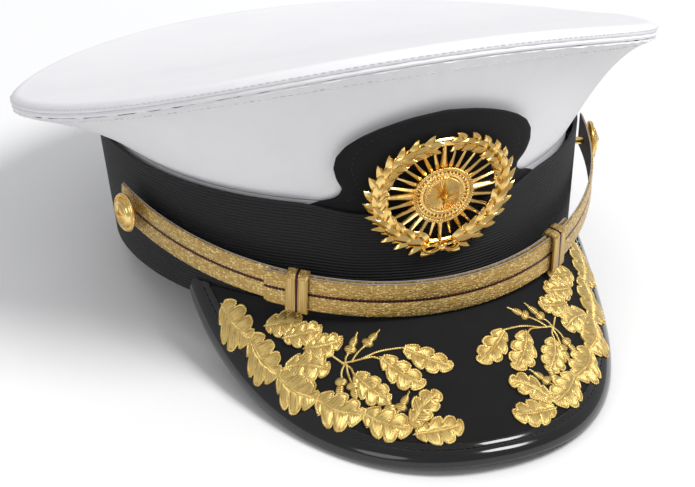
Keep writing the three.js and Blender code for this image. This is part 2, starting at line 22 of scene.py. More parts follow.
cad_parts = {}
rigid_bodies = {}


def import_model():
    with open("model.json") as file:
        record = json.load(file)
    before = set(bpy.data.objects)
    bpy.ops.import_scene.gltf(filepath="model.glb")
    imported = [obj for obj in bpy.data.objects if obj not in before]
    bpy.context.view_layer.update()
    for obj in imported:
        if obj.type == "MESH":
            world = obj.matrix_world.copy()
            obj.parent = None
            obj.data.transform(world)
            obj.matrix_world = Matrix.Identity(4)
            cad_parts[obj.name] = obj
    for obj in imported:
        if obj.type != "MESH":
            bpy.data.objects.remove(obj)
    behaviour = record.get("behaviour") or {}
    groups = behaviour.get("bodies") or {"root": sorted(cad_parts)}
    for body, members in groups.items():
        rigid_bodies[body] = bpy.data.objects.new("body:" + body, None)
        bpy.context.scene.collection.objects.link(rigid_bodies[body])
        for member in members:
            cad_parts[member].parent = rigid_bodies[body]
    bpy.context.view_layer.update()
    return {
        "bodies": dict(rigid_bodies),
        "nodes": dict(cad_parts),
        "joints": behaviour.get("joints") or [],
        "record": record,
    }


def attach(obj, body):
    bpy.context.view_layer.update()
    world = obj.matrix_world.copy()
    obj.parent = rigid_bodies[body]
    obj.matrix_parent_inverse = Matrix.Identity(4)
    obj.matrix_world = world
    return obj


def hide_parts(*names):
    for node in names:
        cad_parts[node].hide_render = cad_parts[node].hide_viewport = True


LOG = logging.getLogger("peaked_cap")
MM = 0.001
Array = np.ndarray
TURN = 2 * math.pi


class Side(Enum):
    """The wearer's two sides."""

    RIGHT = -1
    LEFT = 1

    @property
    def word(self) -> str:
        """The side's name as the pieces carry it."""
        return self.name.lower()


class Body(Enum):
    """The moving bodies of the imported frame."""

    FRAME = "frame"
    COVER = "cover"
    CHINSTRAP = "chinstrap"
    KEEPER_RIGHT = "keeper_right"
    KEEPER_LEFT = "keeper_left"
    BUTTON_RIGHT = "button_right"
    BUTTON_LEFT = "button_left"
    BADGE_NUT = "badge_nut"


# ---- Finishes ----


def to_linear(colour: str) -> tuple[float, float, float, float]:
    """Turns an sRGB hex colour to linear red, green, blue and alpha.

    Args:
        colour: A colour such as "#C9A446".

    Returns:
        The four linear channels.
    """
    channels = [int(colour[i : i + 2], 16) / 255 for i in (1, 3, 5)]
    linear = [c / 12.92 if c <= 0.04045 else ((c + 0.055) / 1.055) ** 2.4 for c in channels]
    return (*linear, 1.0)


def add_node(
    tree: bpy.types.NodeTree, kind: str, inputs: Mapping[Any, Any] | None = None, **settings: Any
) -> bpy.types.Node:
    """Adds a node with its settings and links.

    Args:
        tree: The tree that gets the node.
        kind: The node's type name.
        inputs: Values or output sockets, by the input's name or number.
        **settings: Properties of the node.

    Returns:
        The new node.
    """
    made = tree.nodes.new(kind)
    for name, value in settings.items():
        setattr(made, name, value)
    for key, value in (inputs or {}).items():
        if isinstance(value, bpy.types.NodeSocket):
            tree.links.new(value, made.inputs[key])
        else:
            made.inputs[key].default_value = value
    return made


def wave(tree: bpy.types.NodeTree, value: bpy.types.NodeSocket, period: float) -> bpy.types.NodeSocket:
    """A sine pattern from -1 to 1 that repeats along a value.

    Args:
        tree: The material's tree.
        value: What the pattern runs along.
        period: The distance between crests, in the value's own unit.

    Returns:
        The pattern's output socket.
    """
    turned = add_node(tree, "ShaderNodeMath", {0: value, 1: TURN / period}, operation="MULTIPLY")
    return add_node(tree, "ShaderNodeMath", {0: turned.outputs[0]}, operation="SINE").outputs[0]


def blended(
    tree: bpy.types.NodeTree, factor: Any, first: Any, second: Any
) -> bpy.types.NodeSocket:
    """A colour between two colours.

    Args:
        tree: The material's tree.
        factor: A socket or number from 0 to 1.
        first: The colour at 0.
        second: The colour at 1.

    Returns:
        The mixed colour's socket.
    """
    mixed = add_node(
        tree, "ShaderNodeMix", {0: factor, 6: first, 7: second}, data_type="RGBA", clamp_factor=True
    )
    return mixed.outputs[2]


def ranged(
    tree: bpy.types.NodeTree, value: bpy.types.NodeSocket, source: Sequence[float], target: Sequence[float]
) -> bpy.types.NodeSocket:
    """A value moved from one range to another, held inside it.

    Args:
        tree: The material's tree.
        value: The value to move.
        source: Its lowest and highest value.
        target: What those become.

    Returns:
        The moved value's socket.
    """
    inputs = {0: value, 1: source[0], 2: source[1], 3: target[0], 4: target[1]}
    return add_node(tree, "ShaderNodeMapRange", inputs, clamp=True).outputs[0]


@dataclass(frozen=True)
class Finish:
    """A finish of one real material: its colours, its surface numbers and its pattern."""

    name: str
    slot: str
    light: str
    dark: str
    metallic: float = 0.0
    roughness: float = 0.8
    sheen: float = 0.0
    coat: float = 0.0
    bump: float = 0.3
    relief: float = 0.1  # height of the pattern, mm

    def pattern(self, tree: bpy.types.NodeTree) -> tuple[Any, Any, Any]:
        """Builds the pattern's nodes.

        Args:
            tree: The material's tree.

        Returns:
            Sockets for the colour's share of light, for the bump's height, and for the
            roughness, which may be None.
        """
        where = add_node(tree, "ShaderNodeTexCoord").outputs["Object"]
        noise = add_node(tree, "ShaderNodeTexNoise", {"Vector": where, "Scale": 900.0, "Detail": 3.0})
        return noise.outputs[0], noise.outputs[0], None

    def build(self) -> bpy.types.Material:
        """Makes the material.

        Returns:
            The node-based material.
        """
        known = bpy.data.materials.get(self.name)
        if known:
            return known
        made = bpy.data.materials.new(self.name)
        made.use_nodes = True
        tree = made.node_tree
        shader = tree.nodes["Principled BSDF"]
        share, height, roughness = self.pattern(tree)
        shader.inputs["Metallic"].default_value = self.metallic
        shader.inputs["Roughness"].default_value = self.roughness
        shader.inputs["Sheen Weight"].default_value = self.sheen
        shader.inputs["Sheen Roughness"].default_value = 0.45
        shader.inputs["Coat Weight"].default_value = self.coat
        shader.inputs["Coat Roughness"].default_value = 0.06
        colour = blended(tree, share, to_linear(self.dark), to_linear(self.light))
        tree.links.new(self.tinted(tree, colour), shader.inputs["Base Color"])
        if roughness is not None:
            tree.links.new(roughness, shader.inputs["Roughness"])
        inputs = {"Strength": self.bump, "Distance": self.relief * MM, "Height": height}
        relief = add_node(tree, "ShaderNodeBump", inputs)
        tree.links.new(relief.outputs[0], shader.inputs["Normal"])
        return made

    def tinted(self, tree: bpy.types.NodeTree, colour: Any) -> Any:
        """The colour as it is, for a finish with nothing woven into it."""
        return colour


@dataclass(frozen=True)
class Twill(Finish):
    """Cotton and polyester twill: fine diagonal ribs, matt, with a soft grey in its shade."""

    rib: float = 0.95  # real ribs are 0.5 mm apart, drawn coarser so that they show

    def pattern(self, tree: bpy.types.NodeTree) -> tuple[Any, Any, Any]:
        """Diagonal ribs crossed by fine threads, under a faint unevenness; the ribs paint shade into the colour in
        their grooves.
        """
        source = add_node(tree, "ShaderNodeTexCoord")
        split = add_node(tree, "ShaderNodeSeparateXYZ", {0: source.outputs["UV"]})
        slant = add_node(
            tree, "ShaderNodeMath", {0: split.outputs[0], 1: split.outputs[1]}, operation="ADD"
        )
        ribs = wave(tree, slant.outputs[0], self.rib)
        threads = wave(tree, split.outputs[0], self.rib * 0.55)
        weave = add_node(tree, "ShaderNodeMath", {0: ribs, 1: threads, 2: 1.0}, operation="MULTIPLY_ADD")
        inputs = {"Vector": source.outputs["Object"], "Scale": 45.0, "Detail": 5.0, "Roughness": 0.6}
        cloud = add_node(tree, "ShaderNodeTexNoise", inputs)
        share = ranged(tree, cloud.outputs[0], (0.3, 0.7), (0.6, 1.0))
        # Painted shade: the weave darkens the colour in the ribs' grooves, and the cloud greys it in broad random
        # patches.
        both = add_node(
            tree, "ShaderNodeMath", {0: weave.outputs[0], 1: 0.10, 2: share}, operation="MULTIPLY_ADD"
        )
        return both.outputs[0], weave.outputs[0], None


@dataclass(frozen=True)
class Braid(Finish):
    """Ribbed mohair braid: the ribs are in the mesh, and the pattern adds its upright threads."""

    thread: float = 1.1

    def pattern(self, tree: bpy.types.NodeTree) -> tuple[Any, Any, Any]:
        """Upright threads across the ribs and a fine fuzz of fibres; the threads paint shade into the colour between
        them.
        """
        source = add_node(tree, "ShaderNodeTexCoord")
        split = add_node(tree, "ShaderNodeSeparateXYZ", {0: source.outputs["UV"]})
        threads = wave(tree, split.outputs[0], self.thread)
        fuzz = add_node(
            tree, "ShaderNodeTexNoise", {"Vector": source.outputs["Object"], "Scale": 1600.0, "Detail": 2.0}
        )
        height = add_node(
            tree, "ShaderNodeMath", {0: threads, 1: 0.35, 2: fuzz.outputs[0]}, operation="MULTIPLY_ADD"
        )
        # Painted shade: the colour follows the height, darker between the threads, with random fuzz.
        share = ranged(tree, height.outputs[0], (0.1, 0.95), (0.0, 1.0))
        return share, height.outputs[0], None


@dataclass(frozen=True)
class Napped(Finish):
    """Felted wool cloth: short fibres in every direction that catch a dull light."""

    nap: float = 0.6

    def pattern(self, tree: bpy.types.NodeTree) -> tuple[Any, Any, Any]:
        """Two sizes of fibre clumps."""
        where = add_node(tree, "ShaderNodeTexCoord").outputs["Object"]
        fine = add_node(
            tree, "ShaderNodeTexNoise", {"Vector": where, "Scale": 1 / (self.nap * MM), "Detail": 4.0}
        )
        broad = add_node(tree, "ShaderNodeTexNoise", {"Vector": where, "Scale": 120.0, "Detail": 3.0})
        height = add_node(
            tree, "ShaderNodeMath", {0: fine.outputs[0], 1: 0.8, 2: broad.outputs[0]}, operation="MULTIPLY_ADD"
        )
        share = ranged(tree, height.outputs[0], (0.6, 1.2), (0.0, 1.0))
        return share, height.outputs[0], None


@dataclass(frozen=True)
class Grained(Finish):
    """Skin with a grain, or patent leather with its faint ripple under the lacquer."""

    grain: float = 1.2

    def pattern(self, tree: bpy.types.NodeTree) -> tuple[Any, Any, Any]:
        """Cells of grain, softened by a broader unevenness."""
        where = add_node(tree, "ShaderNodeTexCoord").outputs["Object"]
        cells = add_node(tree, "ShaderNodeTexVoronoi", {"Vector": where, "Scale": 1 / (self.grain * MM)})
        broad = add_node(tree, "ShaderNodeTexNoise", {"Vector": where, "Scale": 160.0, "Detail": 4.0})
        height = add_node(
            tree, "ShaderNodeMath", {0: cells.outputs[0], 1: 0.6, 2: broad.outputs[0]}, operation="MULTIPLY_ADD"
        )
        worn = ranged(tree, broad.outputs[0], (0.3, 0.7), (self.roughness * 0.7, self.roughness * 1.3))
        return broad.outputs[0], height.outputs[0], worn


@dataclass(frozen=True)
class WireLace(Finish):
    """Woven lace of flattened gold wire: a granular glitter of painted highlights and painted shade in its colour, with
    a dark line down its middle.
    """

    grain: float = 0.62  # between the wire's turns, drawn a little coarse
    line: str = "#3A1118"
    line_half: float = 0.55

    def pattern(self, tree: bpy.types.NodeTree) -> tuple[Any, Any, Any]:
        """Cells of bent wire set in rows, each a painted glint, brightest at its middle and fading to painted shade at
        its edge, its brightness differing at random from cell to cell.
        """
        where = add_node(tree, "ShaderNodeTexCoord").outputs["UV"]
        stretched = add_node(
            tree, "ShaderNodeMapping", {"Vector": where, "Scale": (1 / (1.7 * self.grain), 1 / self.grain, 1.0)}
        )
        cells = add_node(
            tree, "ShaderNodeTexVoronoi", {"Vector": stretched.outputs[0], "Scale": 1.0, "Randomness": 0.85}
        )
        split = add_node(tree, "ShaderNodeSeparateColor", {0: cells.outputs["Color"]})
        dome = ranged(tree, cells.outputs["Distance"], (0.0, 0.75), (1.0, 0.0))
        # Painted light: each cell's random brightness times its dome paints a glint at its middle and shade at its
        # edge.
        share = add_node(
            tree, "ShaderNodeMath", {0: split.outputs[0], 1: dome}, operation="MULTIPLY"
        )
        lit = ranged(tree, share.outputs[0], (0.05, 0.7), (0.12, 1.0))
        rough = ranged(tree, split.outputs[1], (0.0, 1.0), (0.22, 0.5))
        return lit, dome, rough

    def tinted(self, tree: bpy.types.NodeTree, colour: Any) -> Any:
        """Weaves the dark line in along the middle of the lace."""
        if not self.line_half:
            return colour
        where = add_node(tree, "ShaderNodeTexCoord").outputs["UV"]
        split = add_node(tree, "ShaderNodeSeparateXYZ", {0: where})
        across = add_node(tree, "ShaderNodeMath", {0: split.outputs[1]}, operation="ABSOLUTE")
        wobble = wave(tree, split.outputs[0], 1.3)
        edge = add_node(tree, "ShaderNodeMath", {0: wobble, 1: 0.1, 2: across.outputs[0]}, operation="MULTIPLY_ADD")
        inside = add_node(
            tree, "ShaderNodeMath", {0: edge.outputs[0], 1: self.line_half}, operation="LESS_THAN"
        )
        return blended(tree, inside.outputs[0], colour, to_linear(self.line))


@dataclass(frozen=True)
class Bullion(Finish):
    """Satin stitch in gold wire thread: close parallel threads with a bright, silky run of light, partly the shader's
    own and partly painted highlights on the threads.
    """

    thread: float = 0.55  # real threads are 0.35 mm apart, drawn coarser so that they show

    def pattern(self, tree: bpy.types.NodeTree) -> tuple[Any, Any, Any]:
        """Threads along the stitch, with painted highlights on their crests and painted shade in the grooves between
        them, each a little lighter or darker than the next at random.
        """
        where = add_node(tree, "ShaderNodeTexCoord").outputs["UV"]
        split = add_node(tree, "ShaderNodeSeparateXYZ", {0: where})
        threads = wave(tree, split.outputs[0], self.thread)
        along = add_node(
            tree, "ShaderNodeMapping", {"Vector": where, "Scale": (1 / self.thread, 0.35, 1.0)}
        )
        single = add_node(
            tree, "ShaderNodeTexNoise", {"Vector": along.outputs[0], "Scale": 1.0, "Detail": 2.0}
        )
        # Painted light: the threads' wave lightens the colour on their crests and darkens it in their grooves, over a
        # random tone per thread.
        share = add_node(
            tree, "ShaderNodeMath", {0: threads, 1: 0.28, 2: single.outputs[0]}, operation="MULTIPLY_ADD"
        )
        lit = ranged(tree, share.outputs[0], (0.2, 0.75), (0.15, 1.0))
        rough = ranged(tree, single.outputs[0], (0.3, 0.7), (0.24, 0.42))
        return lit, threads, rough


@dataclass(frozen=True)
class Gilt(Finish):
    """Gilded brass, stamped and polished: bright, with a slightly dulled, uneven lustre."""

    def pattern(self, tree: bpy.types.NodeTree) -> tuple[Any, Any, Any]:
        """A broad tarnish and the fine unevenness of a stamped face."""
        where = add_node(tree, "ShaderNodeTexCoord").outputs["Object"]
        broad = add_node(tree, "ShaderNodeTexNoise", {"Vector": where, "Scale": 260.0, "Detail": 4.0})
        fine = add_node(tree, "ShaderNodeTexNoise", {"Vector": where, "Scale": 1400.0, "Detail": 2.0})
        share = ranged(tree, broad.outputs[0], (0.35, 0.6), (0.3, 1.0))
        rough = ranged(tree, broad.outputs[0], (0.3, 0.7), (self.roughness * 1.5, self.roughness * 0.8))
        return share, fine.outputs[0], rough


@dataclass(frozen=True)
class Woven(Finish):
    """A plain weave of single threads, as in buckram and tape."""

    thread: float = 0.9

    def pattern(self, tree: bpy.types.NodeTree) -> tuple[Any, Any, Any]:
        """Threads one way crossed by threads the other, with painted shade where the weave's height is low."""
        where = add_node(tree, "ShaderNodeTexCoord").outputs["UV"]
        split = add_node(tree, "ShaderNodeSeparateXYZ", {0: where})
        warp = wave(tree, split.outputs[0], self.thread)
        weft = wave(tree, split.outputs[1], self.thread)
        cross = add_node(tree, "ShaderNodeMath", {0: warp, 1: weft}, operation="MULTIPLY")
        # Painted shade: the colour follows the weave's height, darker where it is low.
        return ranged(tree, cross.outputs[0], (-1.0, 1.0), (0.0, 1.0)), cross.outputs[0], None


WHITE_TWILL = Twill("White cotton twill", "white_twill", "#F6F5F7", "#EDECF1", sheen=0.05, bump=0.22)
WHITE_THREAD = Finish("White cotton thread", "white_twill", "#F4F3F4", "#C9C6CB", roughness=0.7)
MOHAIR = Braid("Ribbed mohair braid", "black_mohair", "#111114", "#020203", roughness=0.7, sheen=0.04)
FELT = Napped("Black wool felt", "black_cloth", "#0B0B0D", "#030304", roughness=0.95, sheen=0.02)
BLACK_THREAD = Finish("Black cotton thread", "black_cloth", "#1A1A1D", "#070708", roughness=0.6)
PATENT = Grained(
    "Black patent leather", "black_patent", "#040405", "#020202", roughness=0.14, coat=0.4, bump=0.05
)
SWEAT_LEATHER = Grained("Tan sheepskin leather", "tan_leather", "#9A7450", "#6E4E32", roughness=0.55)
# The lace's light colour paints glints and its dark colour paints shade between the wire's turns, mixed by the pattern.
GOLD_LACE = WireLace(
    "Woven gold wire lace", "gold_lace", "#FFE6A0", "#A27C34", metallic=0.6, roughness=0.35, bump=0.9,
    relief=0.16,
)
# The embroidery's dark colour is painted shade in the grooves between threads, and its light colour is partly painted
# highlight.
BULLION = Bullion(
    "Gold bullion embroidery", "gold_lace", "#F9DC8C", "#A98338", metallic=0.75, roughness=0.34, bump=0.55,
    relief=0.12,
)
GOLD_CORD = Gilt(
    "Twisted gold wire cord", "gold_lace", "#FFE494", "#B08834", metallic=0.75, roughness=0.3, bump=0.2
)
GILT_BRASS = Gilt("Gilded brass", "gilt_metal", "#F9D88C", "#DFAE58", metallic=1.0, roughness=0.17, bump=0.12)
PALE_TAPE = Woven("Pale woven tape", "pale_backing", "#B9B2AD", "#8F8882", thread=0.8)
FIBRE = Grained("Dark moulded fibre", "grey_plastic", "#2E2F33", "#1E1F22", roughness=0.5, bump=0.15)
SPRING_STEEL = Gilt("Bright spring steel", "spring_steel", "#A9ABB0", "#7C7F85", metallic=1.0, roughness=0.3)
BUCKRAM = Woven("Stiff buckram", "buckram", "#5B554C", "#39352F", roughness=0.9, thread=1.1)


# ---- Meshes ----


def eased(stops: Sequence[tuple[float, float]], theta: Array) -> Array:
    """A value that eases between stops, alike on both sides of the front.

    Args:
        stops: Pairs of degrees from the front and the value there.
        theta: Angles round the head, in radians.

    Returns:
        The value at each angle.
    """
    angle = np.abs(np.degrees(np.arctan2(np.sin(theta), np.cos(theta))))
    value = np.full_like(angle, stops[0][1], dtype=float)
    for (a0, v0), (a1, v1) in zip(stops, stops[1:]):
        share = np.clip((angle - a0) / (a1 - a0), 0, 1)
        value += (v1 - v0) * share * share * (3 - 2 * share)
    return value


def smooth(low: float, high: float, value: Array | float) -> Array:
    """A step from 0 to 1 that eases in and out between two values."""
    share = np.clip((np.asarray(value, float) - low) / (high - low), 0, 1)
    return share * share * (3 - 2 * share)


def unit(vectors: Array) -> Array:
    """The same directions with a length of one."""
    return vectors / np.maximum(np.linalg.norm(vectors, axis=-1, keepdims=True), 1e-12)


def run_of(points: Array) -> Array:
    """How far along a line each of its points is, in millimetres."""
    return np.concatenate([[0.0], np.cumsum(np.linalg.norm(np.diff(points, axis=0), axis=-1))])


@dataclass
class Bundle:
    """Faces gathered from several shapes, which become one piece."""

    points: list[Array] = field(default_factory=list)
    faces: list[tuple[int, ...]] = field(default_factory=list)
    maps: list[tuple[float, float]] = field(default_factory=list)
    count: int = 0

    def loft(
        self,
        rows: Array,
        closed: bool = False,
        ring: bool = True,
        along: Array | None = None,
        across: Array | None = None,
        uv: Array | None = None,
    ) -> Bundle:
        """Adds a surface through rows of points.

        Args:
            rows: The points, by row, by place in the row, and x, y, z.
            closed: Whether the last row joins the first. If not, both ends are capped.
            ring: Whether each row closes on itself.
            along: Each row's distance along the shape, for its pattern.
            across: Each place's distance across it.
            uv: The pattern's coordinates at every point, instead of along and across.

        Returns:
            The bundle itself.
        """
        n, k = rows.shape[:2]
        start = self.count
        if uv is None:
            middle = rows.mean(axis=1) if along is None else rows[:, 0]
            track = np.vstack([middle, middle[:1]])
            along = run_of(track) if along is None else np.append(along, along[-1] + along[1] - along[0])
            loop = np.vstack([rows[0], rows[0][:1]])
            across = run_of(loop) if across is None else np.append(across, across[0])
            uv = np.stack(np.meshgrid(along, across, indexing="ij"), -1)
        else:
            uv = np.concatenate([uv, uv[:1]], 0)
            uv = np.concatenate([uv, uv[:, :1]], 1)
        for i in range(n if closed else n - 1):
            a, b = start + i * k, start + ((i + 1) % n) * k
            for j in range(k if ring else k - 1):
                m = (j + 1) % k
                self.faces.append((a + j, b + j, b + m, a + m))
                self.maps += [tuple(uv[i, j]), tuple(uv[i + 1, j]), tuple(uv[i + 1, j + 1]), tuple(uv[i, j + 1])]
        if ring and not closed:
            for i in (0, n - 1):
                base = start + i * k
                for j in range(k // 2 if k % 2 == 0 else k // 2):
                    p, q = j, k - 1 - j
                    if q - p < 2:
                        continue
                    corners = (p, p + 1, q - 1, q) if q - p > 2 else (p, p + 1, q)
                    corners = corners if i == 0 else corners[::-1]
                    self.faces.append(tuple(base + c for c in corners))
                    self.maps += [tuple(uv[i, c]) for c in corners]
        self.points.append(rows.reshape(-1, 3))
        self.count += n * k
        return self

    def facets(self, points: Array, faces: Iterable[Sequence[int]]) -> Bundle:
        """Adds loose faces.

        Args:
            points: The corners.
            faces: Numbers of corners, by face.

        Returns:
            The bundle itself.
        """
        for face in faces:
            self.faces.append(tuple(self.count + f for f in face))
            self.maps += [(float(points[f][0]), float(points[f][1])) for f in face]
        self.points.append(np.asarray(points, float))
        self.count += len(points)
        return self

    def slab(
        self, steps: tuple[int, int], place: Callable[[Array, Array, Array], Array], round_share: float = 0.0
    ) -> Bundle:
        """Adds a closed plate whose two faces follow a surface.

        Args:
            steps: Divisions along and across.
            place: The point for a share along, a share across, and a depth from 0, the
                back, to 1, the front.
            round_share: How much of the width each long edge's rounding takes.

        Returns:
            The bundle itself.
        """
        u = np.linspace(0, 1, steps[0] + 1)
        v = np.linspace(0, 1, steps[1] + 1)
        if round_share:
            edge = np.array([0, 0.15, 0.4, 0.7]) * round_share
            v = np.unique(np.concatenate([edge, v[(v >= round_share) & (v <= 1 - round_share)], 1 - edge]))
        lip = np.minimum(v, 1 - v) / round_share if round_share else np.ones_like(v)
        rise = np.sqrt(1 - (1 - np.clip(lip, 0, 1)) ** 2)
        section_v = np.concatenate([v, v[::-1]])
        section_w = np.concatenate([0.5 + 0.5 * rise, 0.5 - 0.5 * rise[::-1]])
        uu, vv = np.meshgrid(u, section_v, indexing="ij")
        rows = place(uu, vv, np.broadcast_to(section_w, uu.shape))
        front = rows[:, : len(v)]
        along = run_of(front[:, len(v) // 2])
        middle = front[len(u) // 2]
        across = run_of(middle) - run_of(middle)[-1] / 2
        return self.loft(rows, along=along, across=np.concatenate([across, across[::-1]]))

    def piece(
        self, name: str, finish: Finish, body: Body, replaces: Sequence[str] = (), crease: float = 40
    ) -> bpy.types.Object:
        """Makes the bundle a piece of the cap.

        Args:
            name: The piece's name.
            finish: What it is made of.
            body: The body that it rides on.
            replaces: The nodes of the frame that it stands for.
            crease: Edges sharper than this many degrees stay sharp.

        Returns:
            The new object.
        """
        mesh = bpy.data.meshes.new(name)
        mesh.from_pydata((np.vstack(self.points) * MM).tolist(), [], self.faces)
        layer = mesh.uv_layers.new(name="Weave")
        layer.uv.foreach_set("vector", np.asarray(self.maps, np.float32).ravel())
        work = bmesh.new()
        work.from_mesh(mesh)
        bmesh.ops.remove_doubles(work, verts=work.verts, dist=2e-6)
        bmesh.ops.dissolve_degenerate(work, edges=work.edges, dist=1e-7)
        bmesh.ops.recalc_face_normals(work, faces=work.faces)
        work.to_mesh(mesh)
        work.free()
        mesh.shade_smooth()
        mesh.set_sharp_from_angle(angle=math.radians(crease))
        made = bpy.data.objects.new(name, mesh)
        bpy.context.scene.collection.objects.link(made)
        mesh.materials.append(finish.build())
        return seated(made, finish, body, replaces)


def seated(
    made: bpy.types.Object, finish: Finish, body: Body, replaces: Sequence[str] = ()
) -> bpy.types.Object:
    """Seats a finished piece on its body.

    Args:
        made: The piece.
        finish: What it is made of; not used.
        body: The body that it rides on.
        replaces: The nodes of the frame that it stands for.

    Returns:
        The piece.
    """
    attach(made, body.value)
    if replaces:
        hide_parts(*replaces)
    LOG.info("%s: %d faces on %s", made.name, len(made.data.polygons), body.value)
    return made


def round_section(sides: int) -> Array:
    """The corners of a circle of radius one, as x and y."""
    turn = np.arange(sides) / sides * TURN
    return np.stack([np.cos(turn), np.sin(turn)], -1)


def tube(path: Array, up: Array, wide: Array | float, tall: Array | float, sides: int = 10) -> Array:
    """Rows of points round a path.

    Args:
        path: The middle line.
        up: The direction of the tube's height at each of its points.
        wide: Half its width, at each point or all along.
        tall: Half its height.
        sides: Corners of each row.

    Returns:
        The rows, for a loft.
    """
    tangent = unit(np.gradient(path, axis=0))
    side = unit(np.cross(tangent, up))
    lift = unit(np.cross(side, tangent))
    wide = np.broadcast_to(wide, len(path))[:, None, None]
    tall = np.broadcast_to(tall, len(path))[:, None, None]
    circle = round_section(sides)
    return path[:, None] + side[:, None] * circle[:, :1] * wide + lift[:, None] * circle[:, 1:] * tall


# ---- Rows of small repeated shapes ----


@dataclass
class Row:
    """One line that small shapes are set along, with the way they face."""

    path: Array
    up: Array
    closed: bool = False


class RowMaker:
    """Sets copies of a small shape along lines, by a Geometry Nodes tree."""

    def __init__(self) -> None:
        """Builds the tree with its named inputs."""
        tree = bpy.data.node_groups.new("Set along a line", "GeometryNodeTree")
        faces = tree.interface
        self.inputs: dict[str, str] = {}
        for name, kind in (
            ("Lines", "NodeSocketGeometry"),
            ("Shape", "NodeSocketObject"),
            ("Spacing", "NodeSocketFloat"),
            ("Smallest", "NodeSocketFloat"),
            ("Largest", "NodeSocketFloat"),
            ("Seed", "NodeSocketInt"),
            ("Finish", "NodeSocketMaterial"),
        ):
            self.inputs[name] = faces.new_socket(name=name, in_out="INPUT", socket_type=kind).identifier
        faces.new_socket(name="Pieces", in_out="OUTPUT", socket_type="NodeSocketGeometry")
        given = add_node(tree, "NodeGroupInput").outputs
        curve = add_node(tree, "GeometryNodeMeshToCurve", {"Mesh": given["Lines"]})
        spaced = add_node(
            tree,
            "GeometryNodeResampleCurve",
            {"Curve": curve.outputs[0], "Length": given["Spacing"]},
            mode="LENGTH",
        )
        facing = add_node(
            tree, "GeometryNodeInputNamedAttribute", {"Name": "up"}, data_type="FLOAT_VECTOR"
        )
        along = add_node(tree, "GeometryNodeInputTangent")
        turned = add_node(
            tree,
            "FunctionNodeAxesToRotation",
            {0: along.outputs[0], 1: facing.outputs[0]},
            primary_axis="X",
            secondary_axis="Z",
        )
        size = add_node(
            tree,
            "FunctionNodeRandomValue",
            {2: given["Smallest"], 3: given["Largest"], 8: given["Seed"]},
            data_type="FLOAT",
        )
        shape = add_node(tree, "GeometryNodeObjectInfo", {"Object": given["Shape"]})
        placed = add_node(
            tree,
            "GeometryNodeInstanceOnPoints",
            {
                "Points": spaced.outputs[0],
                "Instance": shape.outputs["Geometry"],
                "Rotation": turned.outputs[0],
                "Scale": size.outputs[1],
            },
        )
        whole = add_node(tree, "GeometryNodeRealizeInstances", {0: placed.outputs[0]})
        dressed = add_node(
            tree, "GeometryNodeSetMaterial", {"Geometry": whole.outputs[0], "Material": given["Finish"]}
        )
        add_node(tree, "NodeGroupOutput", {0: dressed.outputs[0]})
        self.tree = tree

    def lay(
        self,
        name: str,
        rows: Sequence[Row],
        shape: Bundle,
        spacing: float,
        finish: Finish,
        body: Body,
        spread: float = 0.0,
        seed: int = 1,
    ) -> bpy.types.Object:
        """Lays copies of a shape along rows and makes them one piece.

        Args:
            name: The piece's name.
            rows: The lines.
            shape: The shape, its length along X and its height along Z, in millimetres.
            spacing: The distance between copies, in millimetres.
            finish: What they are made of.
            body: The body that they ride on.
            spread: How much the copies differ in size, as a share.
            seed: The seed of that difference.

        Returns:
            The new piece.
        """
        points, edges, ups = [], [], []
        for row in rows:
            start = len(points)
            points += (row.path * MM).tolist()
            ups += row.up.tolist()
            edges += [(start + i, start + i + 1) for i in range(len(row.path) - 1)]
            if row.closed:
                edges.append((len(points) - 1, start))
        mesh = bpy.data.meshes.new(name + "_lines")
        mesh.from_pydata(points, edges, [])
        layer = mesh.attributes.new("up", "FLOAT_VECTOR", "POINT")
        layer.data.foreach_set("vector", np.asarray(ups, np.float32).ravel())
        lines = bpy.data.objects.new(name + "_lines", mesh)
        pattern_mesh = bpy.data.meshes.new(name + "_shape")
        pattern_mesh.from_pydata((np.vstack(shape.points) * MM).tolist(), [], shape.faces)
        pattern_mesh.shade_smooth()
        pattern = bpy.data.objects.new(name + "_shape", pattern_mesh)
        for made in (lines, pattern):
            bpy.context.scene.collection.objects.link(made)
        nodes = lines.modifiers.new("Rows", "NODES")
        nodes.node_group = self.tree
        values = {
            "Shape": pattern,
            "Spacing": spacing * MM,
            "Smallest": 1 - spread,
            "Largest": 1 + spread,
            "Seed": seed,
            "Finish": finish.build(),
        }
        for key, value in values.items():
            nodes[self.inputs[key]] = value
        graph = bpy.context.evaluated_depsgraph_get()
        graph.update()
        plain = bpy.data.meshes.new_from_object(lines.evaluated_get(graph))
        plain.name = name
        for made in (lines, pattern):
            bpy.data.objects.remove(made)
        done = bpy.data.objects.new(name, plain)
        bpy.context.scene.collection.objects.link(done)
        return seated(done, finish, body)


def stitch(length: float = 2.3, wide: float = 0.5, tall: float = 0.42, slant: float = 0.0) -> Bundle:
    """A small rounded stitch or strand.

    Args:
        length: Its length in millimetres.
        wide: Its width.
        tall: Its height.
        slant: How far it is turned across the line, in degrees.

    Returns:
        The shape, along X with its height along Z.
    """
    share = np.linspace(-1, 1, 6)
    size = np.sqrt(np.clip(1 - np.abs(share) ** 2.6, 0.06, 1))
    turn = math.radians(slant)
    path = np.stack([share * math.cos(turn), share * math.sin(turn), 0 * share], -1) * length / 2
    up = np.tile([0.0, 0.0, 1.0], (len(path), 1))
    return Bundle().loft(tube(path, up, size * wide / 2, size * tall / 2, 6))


def bead(radius: float) -> Bundle:
    """A round bead of a few dozen faces."""
    share = np.linspace(-1, 1, 7)
    size = np.sqrt(np.clip(1 - share**2, 0.01, 1)) * radius
    path = np.stack([share * radius, 0 * share, 0 * share], -1)
    up = np.tile([0.0, 0.0, 1.0], (len(path), 1))
    return Bundle().loft(tube(path, up, size, size, 8))


# ---- The band and what lies inside it ----


